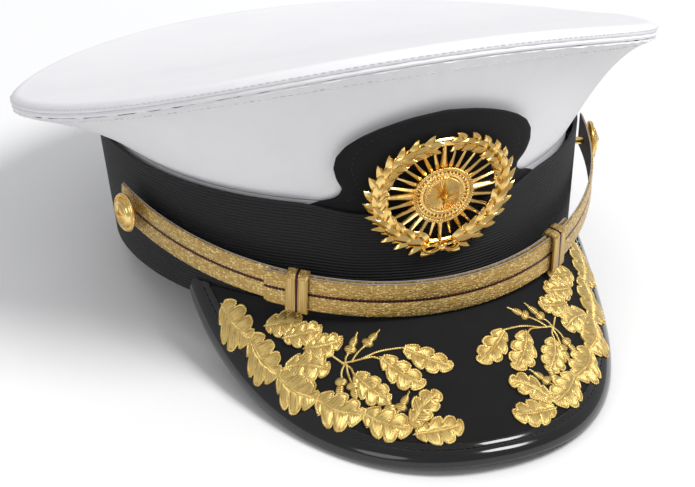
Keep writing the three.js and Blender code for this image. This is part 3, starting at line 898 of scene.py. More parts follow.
@dataclass
class HeadOval:
    """The oval that the band follows: two half ellipses that meet at the sides."""

    half_width: float = 78.9
    front_length: float = 104.2
    back_length: float = 88.0
    flare: float = 4.35  # how far the band leans out at its top
    height: float = 45.2
    dip: float = 4.5
    dip_angle: float = 32.0

    def at(self, theta: Array, out: Array | float, height: Array | float) -> Array:
        """Points a distance out from the inside of the sweatband."""
        theta, out, height = np.broadcast_arrays(theta, out, height)
        length = np.where(np.cos(theta) > 0, self.front_length, self.back_length)
        x = (self.half_width + out) * np.sin(theta)
        return np.stack([x, -(length + out) * np.cos(theta), height], -1)

    def leaning(self, theta: Array, out: Array | float, height: Array | float) -> Array:
        """Points of a layer that leans out with the band."""
        return self.at(theta, out + self.flare * np.asarray(height) / self.height, height)

    def top(self, theta: Array) -> Array:
        """The height of the braid's upper edge, which dips under the badge mount."""
        a = self.dip_angle
        return self.height - eased([(0, self.dip), (a / 2, self.dip * 0.8), (a, 0), (180, 0)], theta)


@dataclass
class Band:
    """The stiff band: sweatband, fibre frame, stiffener and ribbed braid."""

    head: HeadOval
    rows: RowMaker
    steps: int = 240
    frame_inner: float = 1.3
    frame_outer: float = 2.6
    stiffener_inner: float = 2.9
    stiffener_outer: float = 3.8
    braid_inner: float = 4.1
    braid_outer: float = 5.4
    ribs: int = 37
    rib_depth: float = 0.34

    def angles(self, steps: int | None = None) -> Array:
        """Even angles all the way round the head."""
        steps = steps or self.steps
        return np.arange(steps) / steps * TURN

    def ring(self, profile: Sequence[tuple[float, float]], leaning: bool = False) -> Bundle:
        """A closed ring round the head.

        Args:
            profile: The section's corners, as a distance out and a height.
            leaning: Whether it leans out with the band.

        Returns:
            The ring.
        """
        theta = self.angles()[:, None]
        out, height = np.array(profile, float).T
        place = self.head.leaning if leaning else self.head.at
        rows = place(theta, out[None], height[None])
        return Bundle().loft(rows, closed=True, along=run_of(rows[:, 0]))

    def build(self) -> None:
        """Makes every layer of the band."""
        rounded = [(0.0, 37.7), (0.25, 38.0), (0.75, 38.0), (1.0, 37.7)]
        sweat = [(0, 0.2), (0.2, 0), (2.5, 0), (2.6, 0.1), (2.6, 0.8), (2.5, 0.9), (1.0, 0.9)]
        self.ring(sweat + rounded[::-1]).piece("sweatband_leather", SWEAT_LEATHER, Body.FRAME, ["sweatband"])
        rim = [(1.4, 42.8), (1.6, 43.0), (2.3, 43.0), (2.6, 42.8)]
        frame = [(self.frame_outer, 1.2), (self.frame_inner, 1.2), *rim]
        self.ring(frame).piece("frame_fibre", FIBRE, Body.FRAME, ["frame_band"])
        inner, outer = self.stiffener_inner, self.stiffener_outer
        stiffener = [(inner, 1.5), (outer, 1.5), (outer, 34), (inner, 34)]
        self.ring(stiffener, leaning=True).piece("stiffener_buckram", BUCKRAM, Body.FRAME, ["band_stiffener"])
        self.build_braid()
        theta = self.angles(360)
        sewn = self.head.at(theta, -0.12, 3.2)
        inwards = -unit(sewn * [1, 1, 0])
        self.rows.lay("sweatband_stitches", [Row(sewn, inwards, True)], stitch(2.6), 3.4, WHITE_THREAD, Body.FRAME)

    def build_braid(self) -> None:
        """Makes the ribbed braid, its joining strip at the back, and their finish."""
        low, sides = 0.4, 4
        share = np.arange(self.ribs * sides + 1) / (self.ribs * sides)
        crest = np.sin(np.pi * (share * self.ribs % 1)) ** 0.7
        theta = self.angles()[:, None]
        top = self.head.top(theta)
        height = low + (top - low) * share[None]
        out = self.braid_outer - self.rib_depth * (1 - crest[None])
        outer = self.head.leaning(theta, out, height)
        inner = self.head.leaning(theta, self.braid_inner, height[:, ::-1][:, [0, -1]])
        rows = np.concatenate([outer, inner], 1)
        across = np.concatenate([share * (self.head.height - low), [self.head.height, 0]])
        braid = Bundle().loft(rows, closed=True, along=run_of(rows[:, 0]), across=across)
        braid.piece("band_braid", MOHAIR, Body.FRAME, ["mohair_band"], crease=75)

        def splice(u: Array, v: Array, w: Array) -> Array:
            """The strip that covers the braid's join."""
            turn = math.pi + (2 * u - 1) * math.radians(2.5)
            ribbed = 0.2 * np.abs(np.sin(np.pi * v * self.ribs)) * w
            return self.head.leaning(turn, self.braid_outer + 0.3 + 0.6 * w + ribbed, 0.8 + 44 * v)

        strip = Bundle().slab((6, 148), splice)
        strip.piece("band_join", MOHAIR, Body.FRAME, ["band_splice"], crease=75)


# ---- The cover ----


@dataclass
class CoverShape:
    """The surface of the stretched white cover."""

    head: HeadOval
    rim_half_width: float = 119.3
    rim_front: float = 129.5
    rim_back: float = 106.0
    height: float = 68.15
    rise: float = 31.2
    swell: float = 4.1
    peak: float = 1.4
    back_lift: float = 13.2
    sag: float = 2.5
    cloth: float = 1.0
    seam_out: float = 1.1
    seam_drop: float = 5.2
    foot: float = 6.4
    foot_height: float = 45.7
    leave: tuple[tuple[float, float], ...] = ((0, 80), (65, 50), (100, 16), (180, 4))
    arrive: tuple[tuple[float, float], ...] = ((0, 60), (65, 15), (100, 24), (180, 2))

    def top(self, theta: Array, share: Array) -> Array:
        """The height of the crown, share 0 at its middle to 1 at the ridge."""
        back = np.minimum(0, share * np.cos(theta))
        waves = self.swell * share**2 * np.cos(2 * theta) + self.peak * share**3 * np.cos(3 * theta)
        level = self.height + self.rise * share * np.cos(theta) + waves
        return level + self.back_lift * back**2 - self.sag * (1 - share**2)

    def rim(self, theta: Array, out: Array | float, up: Array | float) -> Array:
        """Points by the crown's ridge, out and up from it."""
        theta, out, up = np.broadcast_arrays(theta, out, up)
        length = np.where(np.cos(theta) > 0, self.rim_front, self.rim_back)
        x = (self.rim_half_width + out) * np.sin(theta)
        return np.stack([x, -(length + out) * np.cos(theta), self.top(theta, 1.0) + up], -1)

    def crown(self, theta: Array, share: Array, up: Array | float) -> Array:
        """Points of the crown, a share of the way out from its middle."""
        theta, share = np.broadcast_arrays(theta, share)
        ridge = self.rim(theta, 0, 0)
        return np.stack([ridge[..., 0] * share, ridge[..., 1] * share, self.top(theta, share) + up], -1)

    def panel(self, theta: Array, share: Array | float, inset: Array | float) -> Array:
        """Points of the side panel.

        Args:
            theta: Angles round the head.
            share: 0 at the band to 1 at the seam.
            inset: How far inside the outer face, in millimetres.

        Returns:
            The points.
        """
        theta, share, inset = np.broadcast_arrays(theta, np.asarray(share, float), np.asarray(inset, float))
        foot = self.head.at(theta, self.foot, self.foot_height)
        arrive = np.radians(eased(self.arrive, theta))
        leave = np.radians(eased(self.leave, theta))
        head = self.rim(theta, self.seam_out, -self.seam_drop - self.cloth * np.cos(arrive))
        out = unit((head - foot) * [1, 1, 0])
        pull = np.linalg.norm(head - foot, axis=-1, keepdims=True) / 3
        upright = np.array([0.0, 0.0, 1.0])

        def along(angle: Array) -> Array:
            """A handle of the panel's curve."""
            return (out * np.cos(angle)[..., None] + upright * np.sin(angle)[..., None]) * pull

        p1, p2 = foot + along(leave), head - along(arrive)
        t = share[..., None]
        point = foot * (1 - t) ** 3 + 3 * p1 * t * (1 - t) ** 2 + 3 * p2 * t * t * (1 - t) + head * t**3
        slope = 3 * (p1 - foot) * (1 - t) ** 2 + 6 * (p2 - p1) * t * (1 - t) + 3 * (head - p2) * t * t
        slope = unit(slope)
        level = (slope * out).sum(-1, keepdims=True)
        inwards = -out * slope[..., 2:] + upright * level
        return point + inwards * inset[..., None]


@dataclass
class Cover:
    """The white twill cover, with the ring that stretches it."""

    shape: CoverShape
    rows: RowMaker
    steps: int = 288
    roll_depth: float = 3.4
    roll_width: float = 1.3
    welt_radius: float = 0.95
    seam_angle: float = 100.0
    pucker: float = 0.28  # how deep the seam's puckers are
    ring_radius: float = 1.0
    ring_inset: float = 3.6
    ring_drop: float = 3.4
    seed: int = 7

    def puckers(self, theta: Array, seed: int) -> Array:
        """Uneven ripples round the rim, from -1 to 1, where the seam draws the cloth in.

        Args:
            theta: Angles round the head.
            seed: The seed of the ripples' phases.

        Returns:
            The ripple at each angle.
        """
        chance = np.random.default_rng(seed)
        total = np.zeros_like(theta, dtype=float)
        for count in (41, 58, 73, 97, 131):
            total += np.sin(count * theta + chance.uniform(0, TURN)) * chance.uniform(0.5, 1.0)
        return total / 2.6

    def build(self) -> list[bpy.types.Object]:
        """Makes the cover and what is inside it.

        Returns:
            The three sheets of cloth: the crown, the front panel and the back panel.
        """
        crown = self.build_crown()
        self.build_welt()
        front = self.build_panel("cover_front_panel", -self.seam_angle, self.seam_angle, 200, "cover_side_front")
        rest = 360 - self.seam_angle
        back = self.build_panel("cover_back_panel", self.seam_angle, rest, 150, "cover_side_back")
        self.build_hem()
        self.build_ring()
        self.build_stitches()
        return [crown, front, back]

    def roll(self, theta: Array, out: float, up: float, seed: int = 3) -> Array:
        """Points of the rolled rim, with its puckers."""
        depth = self.pucker * smooth(0.5, -3.0, up) * self.puckers(theta, seed)
        return self.shape.rim(theta, out + depth, up + depth * 0.3)

    def build_crown(self) -> bpy.types.Object:
        """Makes the crown and its rolled rim, one cloth shell."""
        shape, cloth = self.shape, self.shape.cloth
        theta = np.arange(self.steps) / self.steps * TURN
        shares = np.concatenate([[0, 0.04], np.linspace(0.1, 0.96, 26)])
        edge = [(-3.0, 0.02), (-2.2, 0.06), (-1.4, 0.05), (-0.6, -0.12), (0.1, -0.42), (0.8, -0.9), (1.4, -1.5)]
        edge += [(1.75, -2.1), (1.8, -2.6), (1.6, -3.05), (self.roll_width - 0.1, -self.roll_depth)]
        columns = [shape.crown(theta, share, 0.0) for share in shares]
        columns += [self.roll(theta, out, up) for out, up in edge]
        columns += [self.roll(theta, out - cloth, min(up, -cloth)) for out, up in edge[::-1][:6]]
        columns += [shape.crown(theta, share, -cloth) for share in shares[::-1]]
        rows = np.stack(columns, 1)
        uv = rows[..., :2].copy()
        skirt = slice(len(shares) + 5, len(shares) + len(edge) + 6)
        track = run_of(rows[:, len(shares)])
        uv[:, skirt, 0] = track[:, None]
        uv[:, skirt, 1] = rows[:, skirt, 2]
        crown = Bundle().loft(rows, closed=True, uv=uv)
        return crown.piece("cover_crown", WHITE_TWILL, Body.COVER, ["cover_top"], crease=60)

    def build_welt(self) -> None:
        """Makes the covered cord sewn into the rim's seam."""
        theta = np.arange(self.steps) / self.steps * TURN
        out = self.roll_width - self.shape.cloth / 2 - 0.1
        drop = self.roll_depth + 0.9
        circle = round_section(8)
        ripple = 0.06 * self.puckers(theta, 5)
        columns = [
            self.shape.rim(theta, out + self.welt_radius * x + ripple, -drop + self.welt_radius * y)
            for x, y in circle
        ]
        rows = np.stack(columns, 1)
        welt = Bundle().loft(rows, closed=True, along=run_of(rows[:, 0]))
        welt.piece("cover_welt_cord", WHITE_TWILL, Body.COVER, ["cover_welt"])

    def build_panel(self, name: str, start: float, end: float, steps: int, node: str) -> bpy.types.Object:
        """Makes one side panel, a cloth shell whose side edges fold in at the seam.

        Args:
            name: The piece's name.
            start: The angle that it starts at, in degrees.
            end: The angle that it ends at.
            steps: Divisions along it.
            node: The node that it stands for.

        Returns:
            The panel.
        """
        low, high = math.radians(start), math.radians(end)

        def place(u: Array, v: Array, w: Array) -> Array:
            """A point of the panel."""
            theta = low + (high - low) * u
            near = np.minimum(theta - low, high - theta) * self.shape.rim_half_width
            fold = 0.55 * (1 - smooth(0.0, 1.6, near))
            top = self.pucker * 1.1 * self.puckers(theta, 9) * smooth(0.62, 1.0, v) ** 2
            slack = 0.35 * np.sin(5 * theta + 0.7) * np.sin(np.pi * v) ** 2
            gather = 0.3 * self.puckers(theta * 0.5 + 0.3, 12) * (1 - smooth(0.0, 0.2, v)) * v * 5
            return self.shape.panel(theta, v, self.shape.cloth * (1 - w) * 0.9 + fold + top + slack * 0.3 + gather * 0.2)

        panel = Bundle().slab((steps, 30), place)
        return panel.piece(name, WHITE_TWILL, Body.COVER, [node], crease=60)

    def build_hem(self) -> None:
        """Makes the hem that tucks inside the band."""
        theta = np.arange(self.steps) / self.steps * TURN
        top, outer = 45.3, 6.2
        profile = [(4.3, top - 8.3), (5.0, top - 8.3), (outer, top), (outer - 0.7, top)]
        rows = np.stack([self.shape.head.at(theta, out, height) for out, height in profile], 1)
        hem = Bundle().loft(rows, closed=True, along=run_of(rows[:, 0]))
        hem.piece("cover_hem_tape", WHITE_TWILL, Body.COVER, ["cover_hem"])

    def build_ring(self) -> None:
        """Makes the spring ring and its joining sleeve."""
        for name, radius, wide, node in (
            ("spring_ring", self.ring_radius, math.pi - math.radians(0.4), "grommet_ring"),
            ("spring_sleeve", self.ring_radius + 0.6, math.radians(4), "grommet_sleeve"),
        ):
            middle = 0.0 if node == "grommet_ring" else math.pi
            theta = np.linspace(middle - wide, middle + wide, 260 if middle == 0 else 14)
            circle = round_section(12)
            columns = [
                self.shape.rim(theta, radius * x - self.ring_inset, radius * y - self.ring_drop) for x, y in circle
            ]
            rows = np.stack(columns, 1)
            Bundle().loft(rows, along=run_of(rows[:, 0])).piece(name, SPRING_STEEL, Body.COVER, [node])

    def build_stitches(self) -> None:
        """Sews the rows of stitches above and below the rim's seam, and down the side seams."""
        theta = np.arange(720) / 720 * TURN
        shape = self.shape
        above = self.roll(theta, 1.86, -2.0)
        out = unit(above * [1, 1, 0])
        below = shape.panel(theta, 0.93, -0.05)
        inwards = shape.panel(theta, 0.93, 1.0)
        rows = [Row(above, unit(out + [0, 0, 0.2]), True), Row(below, unit(below - inwards), True)]
        self.rows.lay(
            "cover_rim_stitches", rows, stitch(2.0, 0.42, 0.34), 2.7, WHITE_THREAD, Body.COVER, 0.06, self.seed
        )
        share = np.linspace(0.04, 0.98, 60)
        seams = []
        for side in Side:
            for offset in (-2.0, 2.0):
                turn = side.value * math.radians(self.seam_angle + offset)
                line = shape.panel(np.full(60, turn), share, -0.03)
                deep = shape.panel(np.full(60, turn), share, 1.0)
                seams.append(Row(line, unit(line - deep)))
        self.rows.lay("cover_seam_stitches", seams, stitch(1.9, 0.4, 0.3), 2.7, WHITE_THREAD, Body.COVER)


# ---- The badge and its mount ----


@dataclass
class Mount:
    """The black felt tongue that carries the badge, standing in the band's front."""

    cover: CoverShape
    rows: RowMaker
    thickness: float = 1.3
    waist: float = 31.0
    head: float = 34.0
    foot: float = 48.0
    reach: float = 0.66
    stand_off: float = 2.5
    foot_share: float = 0.16
    stitch_inset: float = 5.5

    def half_width(self, v: Array) -> Array:
        """The tongue's half width along its height, from 0 at the foot to 1 at the top."""
        stops = [0, 0.1, 0.16, 0.2, 0.25, 0.32, 0.42, 0.55, 0.66, 0.76, 0.84, 0.9, 0.95, 0.98, 1.0]
        foot, waist, head = self.foot, self.waist, self.head
        sizes = [foot, foot - 5, waist + 8, waist + 3, waist + 0.8, waist, waist + 1.6, head, head - 0.4]
        sizes += [head - 2.8, head - 7, head - 12, head - 18.5, head - 24.5, head - 33]
        return np.interp(v, np.linspace(0, 1, 241), self.softened(stops, sizes))

    def softened(self, stops: Sequence[float], sizes: Sequence[float]) -> Array:
        """The outline through the stops, with its corners rounded."""
        fine = np.linspace(0, 1, 241)
        line = np.interp(fine, stops, sizes)
        kernel = np.hanning(13) / np.hanning(13).sum()
        padded = np.concatenate([np.full(6, line[0]), line, 2 * line[-1] - line[-2:-8:-1]])
        rounded = np.convolve(padded, kernel, mode="valid")
        end = smooth(0.9, 0.97, fine)
        return np.maximum(rounded * (1 - end) + line * end, 1.0)

    def at(self, x: Array, v: Array, out: Array | float) -> Array:
        """Points of the tongue: its foot is in the band, its head before the cover."""
        shape = self.cover
        x, v, out = np.broadcast_arrays(np.asarray(x, float), np.asarray(v, float), np.asarray(out, float))
        theta = np.arcsin(x / (shape.head.half_width + shape.foot))
        low = shape.head.at(theta, 5.4 + out, 45.2 - 6.8)
        high = shape.head.at(theta, shape.foot + 0.4 + out, 45.35)
        share = np.clip(v / self.foot_share, 0, 1)[..., None]
        foot = low + (high - low) * share
        up = np.clip((v - self.foot_share) / (1 - self.foot_share), 0, 1) * self.reach
        turn = theta.copy()
        for _ in range(7):
            found = shape.panel(turn, up, 0.0)[..., 0]
            turn = np.where(np.abs(found) > 1e-6, turn * x / np.where(np.abs(found) > 1e-6, found, 1), turn)
        stand = 0.4 + self.stand_off * smooth(self.foot_share, 0.5, v)
        head = shape.panel(turn, up, -stand - out)
        return np.where((v <= self.foot_share)[..., None], foot, head)

    def build(self) -> None:
        """Makes the tongue and its stitched outline."""

        def place(u: Array, v: Array, w: Array) -> Array:
            """A point of the tongue, whose edge is pressed thinner than its middle."""
            half = self.half_width(u)
            x = (2 * v - 1) * half
            edge = np.minimum(half - np.abs(x), (1 - u) * 60)
            puff = 0.25 * smooth(0.0, 4.0, edge) - 0.22 * np.exp(-(((edge - self.stitch_inset) / 0.8) ** 2))
            return self.at(x, u, self.thickness * w + puff * w)

        tongue = Bundle().slab((72, 40), place, round_share=0.03)
        tongue.piece("badge_mount_felt", FELT, Body.FRAME, ["badge_mount"], crease=55)
        v = np.linspace(0.2, 0.93, 90)
        inset = self.half_width(v) - self.stitch_inset
        x = np.concatenate([-inset, inset[::-1]])
        line = self.at(x, np.concatenate([v, v[::-1]]), self.thickness + 0.04)
        behind = self.at(x, np.concatenate([v, v[::-1]]), 0.0)
        rows = [Row(line, unit(line - behind))]
        self.rows.lay("badge_mount_stitches", rows, stitch(1.7, 0.4, 0.3), 2.4, BLACK_THREAD, Body.FRAME)


@dataclass
class Badge:
    """A gilt badge of no unit: laurel sprays round a rayed boss with an eight-pointed star."""

    rows: RowMaker
    half_width: float = 27.0
    half_height: float = 24.0
    lean: float = 12.5
    bend: float = 95.0
    place: tuple[float, float, float] = (0.0, -117.8, 49.0)
    boss: float = 11.0
    leaf_long: float = 9.2
    leaf_wide: float = 3.9

    def world(self, local: Array) -> Array:
        """Points of the badge's own plane set in the cap: across, up and out."""
        local = np.asarray(local, float)
        x, y, z = local[..., 0], local[..., 1], local[..., 2]
        z = z - x * x / (2 * self.bend)
        s, c = math.sin(math.radians(self.lean)), math.cos(math.radians(self.lean))
        px, py, pz = self.place
        return np.stack([px + x, py - y * s - z * c, pz + y * c - z * s], -1)

    def facing(self, line: Array) -> Array:
        """The direction out of the badge along a line of its own plane."""
        return unit(self.world(line + [0, 0, 1.0]) - self.world(line))

    def ring_row(self, radius: float, height: float, count: int = 120) -> Row:
        """A circle on the badge that strands or beads follow."""
        turn = np.arange(count) / count * TURN
        line = np.stack([radius * np.sin(turn), radius * np.cos(turn), np.full(count, height)], -1)
        return Row(self.world(line), self.facing(line), True)

    def build(self) -> None:
        """Makes the badge, with its post, as one body's pieces."""
        body = Bundle()
        self.add_backing(body)
        self.add_rays(body)
        self.add_boss(body)
        self.add_star(body)
        self.add_leaves(body)
        self.add_bow(body)
        post = np.array([[0, 11, -5.4], [0, 11, -2.0], [0, 11, 1.0]], float)
        body.loft(tube(self.world(post), np.tile([1.0, 0, 0], (3, 1)), 1.1, 1.1, 14))
        body.piece("badge_gilt", GILT_BRASS, Body.FRAME, ["badge"], crease=32)
        ropes = [self.ring_row(self.boss - 0.7, 2.1), self.ring_row(6.6, 2.5, 80)]
        strand = stitch(2.1, 0.85, 0.9, 38)
        self.rows.lay("badge_rope", ropes, strand, 0.95, GILT_BRASS, Body.FRAME)
        beads = [self.ring_row(8.7, 2.25)]
        self.rows.lay("badge_beads", beads, bead(0.52), 1.5, GILT_BRASS, Body.FRAME)

    def oval(self, turn: Array, inwards: float | Array, height: float | Array) -> Array:
        """Points on the wreath's oval, in the badge's own plane."""
        turn, inwards, height = np.broadcast_arrays(turn, inwards, height)
        x = (self.half_width - inwards) * np.sin(turn)
        return np.stack([x, (self.half_height - inwards) * np.cos(turn), height], -1)

    def add_backing(self, body: Bundle) -> None:
        """Adds the wreath's stem, a rounded oval wire that the leaves grow from."""
        turn = np.arange(140) / 140 * TURN
        section = [(2.6, 0.0), (2.2, 0.5), (2.6, 1.0), (3.8, 1.3), (5.0, 1.0), (5.4, 0.5), (5.0, 0.0)]
        rows = np.stack([self.oval(turn, inwards, height) for inwards, height in section], 1)
        body.loft(self.world(rows), closed=True)

    def add_leaf(self, body: Bundle, root: Array, heading: float, size: float, lift: float) -> None:
        """Adds one pointed leaf with a keeled midrib.

        Args:
            body: The bundle that it joins.
            root: Where it starts, in the badge's plane.
            heading: Its direction in that plane, in radians from straight up.
            size: Its share of the full leaf.
            lift: How far its tip rises.
        """
        s = np.linspace(0, 1, 12)[:, None]
        t = np.array([-1, -0.6, -0.25, -0.08, 0, 0.08, 0.25, 0.6, 1])[None]
        half = self.leaf_wide / 2 * size * np.sin(np.pi * s**0.8) ** 0.75 + 0.04
        keel = 0.42 * (1 - np.abs(t)) ** 1.4 * np.sin(np.pi * s) ** 0.5
        vein = 0.07 * np.sin(s * 34 - np.abs(t) * 6) * np.abs(t) * (1 - np.abs(t)) * 4
        height = root[2] + lift * s + 0.9 * np.sin(np.pi * s * 0.8) * (1 - 0.55 * t * t) + keel + vein
        along = self.leaf_long * size * s + 0 * t
        side = half * t + 0.5 * size * np.sin(np.pi * s)
        sin, cos = math.sin(heading), math.cos(heading)
        x = root[0] + along * sin + side * cos
        y = root[1] + along * cos - side * sin
        top = np.stack([x, y, height + 0 * t], -1)
        under = top[:, ::-1].copy()
        under[..., 2] = np.minimum(root[2] + 0.1 + lift * s * 0.9, under[..., 2] - 0.3)
        body.loft(self.world(np.concatenate([top, under], 1)))

    def add_leaves(self, body: Bundle) -> None:
        """Adds the two sprays of leaves in threes, with berries between them."""
        chance = np.random.default_rng(4)
        for side in Side:
            for step, share in enumerate(np.linspace(0.06, 0.93, 13)):
                turn = side.value * (math.pi - share * (math.pi - 0.14))
                here = self.oval(np.array(turn), 3.8, 0.9)
                ahead = self.oval(np.array(turn - side.value * 0.05), 3.8, 0.9)
                heading = math.atan2(ahead[0] - here[0], ahead[1] - here[1])
                size = 1.0 - 0.22 * share
                for lean, lift, extra in ((-0.62, 0.1, 0.92), (0.62, 0.1, 0.86), (0.02, 0.75, 1.0)):
                    wobble = chance.uniform(-0.06, 0.06)
                    self.add_leaf(body, here, heading + lean * side.value + wobble, size * extra, lift)
                if step % 3 == 1:
                    berry = self.oval(np.array(turn), 7.2, 1.5)
                    self.add_knob(body, berry, 0.85)

    def add_knob(self, body: Bundle, centre: Array, radius: float) -> None:
        """Adds a round berry or stud."""
        turn = np.arange(12) / 12 * TURN
        rise = np.linspace(-0.9, 1.0, 7)
        size = np.sqrt(np.clip(1 - rise**2, 0.0, 1)) * radius
        rows = np.stack(
            [
                np.stack(
                    [centre[0] + s * np.cos(turn), centre[1] + s * np.sin(turn), np.full(12, centre[2] + r * radius)],
                    -1,
                )
                for r, s in zip(rise, size)
            ]
        )
        body.loft(self.world(rows))

    def add_rays(self, body: Bundle) -> None:
        """Adds the tapered rays that join the boss to the wreath."""
        count = 28
        for i in range(count):
            turn = i / count * TURN
            major = i % 7 == 0
            end = self.oval(np.array(turn), 4.6 if major or i % 2 == 0 else 7.4, 0.6)
            reach = np.linalg.norm(end[:2])
            share = np.linspace(0, 1, 5)
            radius = 8.6 + (reach - 8.6) * share
            wide = (1.5 if major else 1.0) * (1 - 0.5 * share)
            line = np.stack([radius * np.sin(turn), radius * np.cos(turn), 0.9 + 0 * share], -1)
            side = np.array([math.cos(turn), -math.sin(turn), 0.0])
            tall = (0.95 if major else 0.7) * (1 - 0.35 * share)
            rows = np.stack(
                [
                    line + side * wide[:, None] - [0, 0, 0.7],
                    line + side * wide[:, None] * 0.8,
                    line + np.stack([0 * tall, 0 * tall, tall], -1),
                    line - side * wide[:, None] * 0.8,
                    line - side * wide[:, None] - [0, 0, 0.7],
                    line - [0, 0, 0.8],
                ],
                1,
            )
            body.loft(self.world(rows))

    def add_boss(self, body: Bundle) -> None:
        """Adds the round boss, fluted between its rope and its middle."""
        profile = [(0.02, 2.1), (3.0, 2.05), (5.8, 1.9), (6.2, 2.2), (6.6, 2.35), (7.0, 2.2), (7.3, 1.75), (8.0, 1.7)]
        profile += [(9.4, 1.7), (9.8, 1.85), (10.3, 2.2), (10.8, 1.9), (11.0, 1.2), (11.0, 0.1), (0.02, 0.0)]
        turn = np.arange(144) / 144 * TURN
        columns = []
        for radius, height in profile:
            fluted = 0.12 * np.cos(36 * turn) * (1.5 < radius < 6.0)
            columns.append(np.stack([radius * np.sin(turn), radius * np.cos(turn), height + fluted], -1))
        body.loft(self.world(np.stack(columns, 1)), closed=True)

    def add_star(self, body: Bundle) -> None:
        """Adds the boss's faceted star."""
        body.facets(*star_facets((5.9, 3.5), 1.55, 2.0, 4.1, self.world))

    def add_bow(self, body: Bundle) -> None:
        """Adds the ribbon that ties the sprays: two loops, two tails and a knot."""
        for side in Side:
            turn = np.linspace(0, TURN, 25)[:-1]
            reach = 3.1 + 2.9 * (-np.cos(turn))
            loop = np.stack(
                [side.value * (reach + 0.3), -20.9 + 1.9 * np.sin(turn) * (0.55 + 0.18 * reach / 3), 2.2 + 0 * turn], -1
            )
            body.loft(self.strip(loop, 0.6, 0.9), closed=True)
            share = np.linspace(0, 1, 9)
            tail = np.stack(
                [side.value * (0.4 + 6.8 * share), -21.3 - 2.3 * np.sin(share * 2.0), 2.0 - 0.3 * share], -1
            )
            body.loft(self.strip(tail, 0.75 + 0.5 * share, 0.35))
        self.add_knob(body, np.array([0.0, -20.9, 2.2]), 1.5)

    def strip(self, line: Array, wide: Array | float, tall: float) -> Array:
        """Rows round a line of the badge's plane, set in the cap."""
        placed = self.world(line)
        return tube(placed, self.facing(line), wide, tall, 8)


def star_facets(
    reaches: tuple[float, float], waist: float, low: float, high: float, place: Callable[[Array], Array]
) -> tuple[Array, list[tuple[int, ...]]]:
    """A faceted star of four long and four short points.

    Args:
        reaches: How far the long and the short points reach.
        waist: The radius between two points.
        low: The height of its edge.
        high: The height of its middle.
        place: Sets its own plane's points in the cap.

    Returns:
        Its corners and its faces.
    """
    corners = [(0.0, 0.0, high)]
    for i in range(16):
        radius = waist if i % 2 else reaches[(i // 2) % 2]
        turn = i / 16 * TURN
        corners.append((radius * math.sin(turn), radius * math.cos(turn), low))
    corners += [(x, y, low - 0.6) for x, y, _ in corners[1:]]
    faces = [(0, i + 1, (i + 1) % 16 + 1) for i in range(16)]
    faces += [(i + 1, i + 17, (i + 1) % 16 + 17, (i + 1) % 16 + 1) for i in range(16)]
    faces.append(tuple(range(17, 33)))
    return place(np.array(corners)), faces


# ---- The visor ----


@dataclass
class VisorShape:
    """The visor's top surface and its edge."""

    head: HeadOval
    root: float = 7.06
    length: float = 66.5
    spread: float = 60.9
    squareness: float = 3.15
    roundness: float = 2.08
    slope: float = 30.0
    droop: float = 7.8
    height: float = 6.9

    def band_y(self, x: Array) -> Array:
        """Where the visor meets the band, at a place across the cap."""
        share = np.clip(x / (self.head.half_width + self.root), -1, 1)
        return -(self.head.front_length + self.root) * np.sqrt(1 - share**2)

    def top(self, x: Array, y: Array) -> Array:
        """The height of the visor's top face."""
        theta = np.arcsin(np.clip(x / (self.head.half_width + self.root), -1, 1))
        q = theta / math.radians(self.spread)
        return self.height - (self.band_y(x) - y) * np.tan(np.radians(self.slope + self.droop * q * q))

    def edge(self, turn: Array) -> Array:
        """The edge in plan: turn runs from -90 degrees at one tip to 90 at the other."""
        q = np.sign(np.sin(turn)) * np.abs(np.sin(turn)) ** (2 / self.squareness)
        theta = q * math.radians(self.spread)
        length = self.length * np.clip(np.cos(turn), 0, 1) ** (2 / self.roundness)
        slope = np.radians(self.slope + self.droop * q * q)
        x = (self.head.half_width + self.root) * np.sin(theta)
        y = -(self.head.front_length + self.root) * np.cos(theta) - length * np.cos(slope)
        return np.stack([x, y], -1)

    def inset(self, turn: Array, inwards: Array | float) -> Array:
        """The edge moved inwards in plan, kept before the band."""
        turn, inwards = np.broadcast_arrays(turn, inwards)
        step = 1e-3
        along = unit(self.edge(turn + step) - self.edge(turn - step))
        point = self.edge(turn) + np.stack([-along[..., 1], along[..., 0]], -1) * inwards[..., None]
        y = np.minimum(point[..., 1], self.band_y(point[..., 0]))
        return np.stack([point[..., 0], y], -1)

    def above(self, plan: Array, height: Array | float) -> Array:
        """Points over places in plan, a height out from the top face."""
        plan = np.asarray(plan, float)
        x, y = plan[..., 0], plan[..., 1]
        base = np.stack([x, y, self.top(x, y)], -1)
        return base + self.normal(plan) * np.asarray(height, float)[..., None]

    def normal(self, plan: Array) -> Array:
        """The direction out of the top face over places in plan."""
        x, y = plan[..., 0], plan[..., 1]
        step = 0.05
        dx = (self.top(x + step, y) - self.top(x - step, y)) / (2 * step)
        dy = (self.top(x, y + step) - self.top(x, y - step)) / (2 * step)
        return unit(np.stack([-dx, -dy, np.ones_like(dx)], -1))


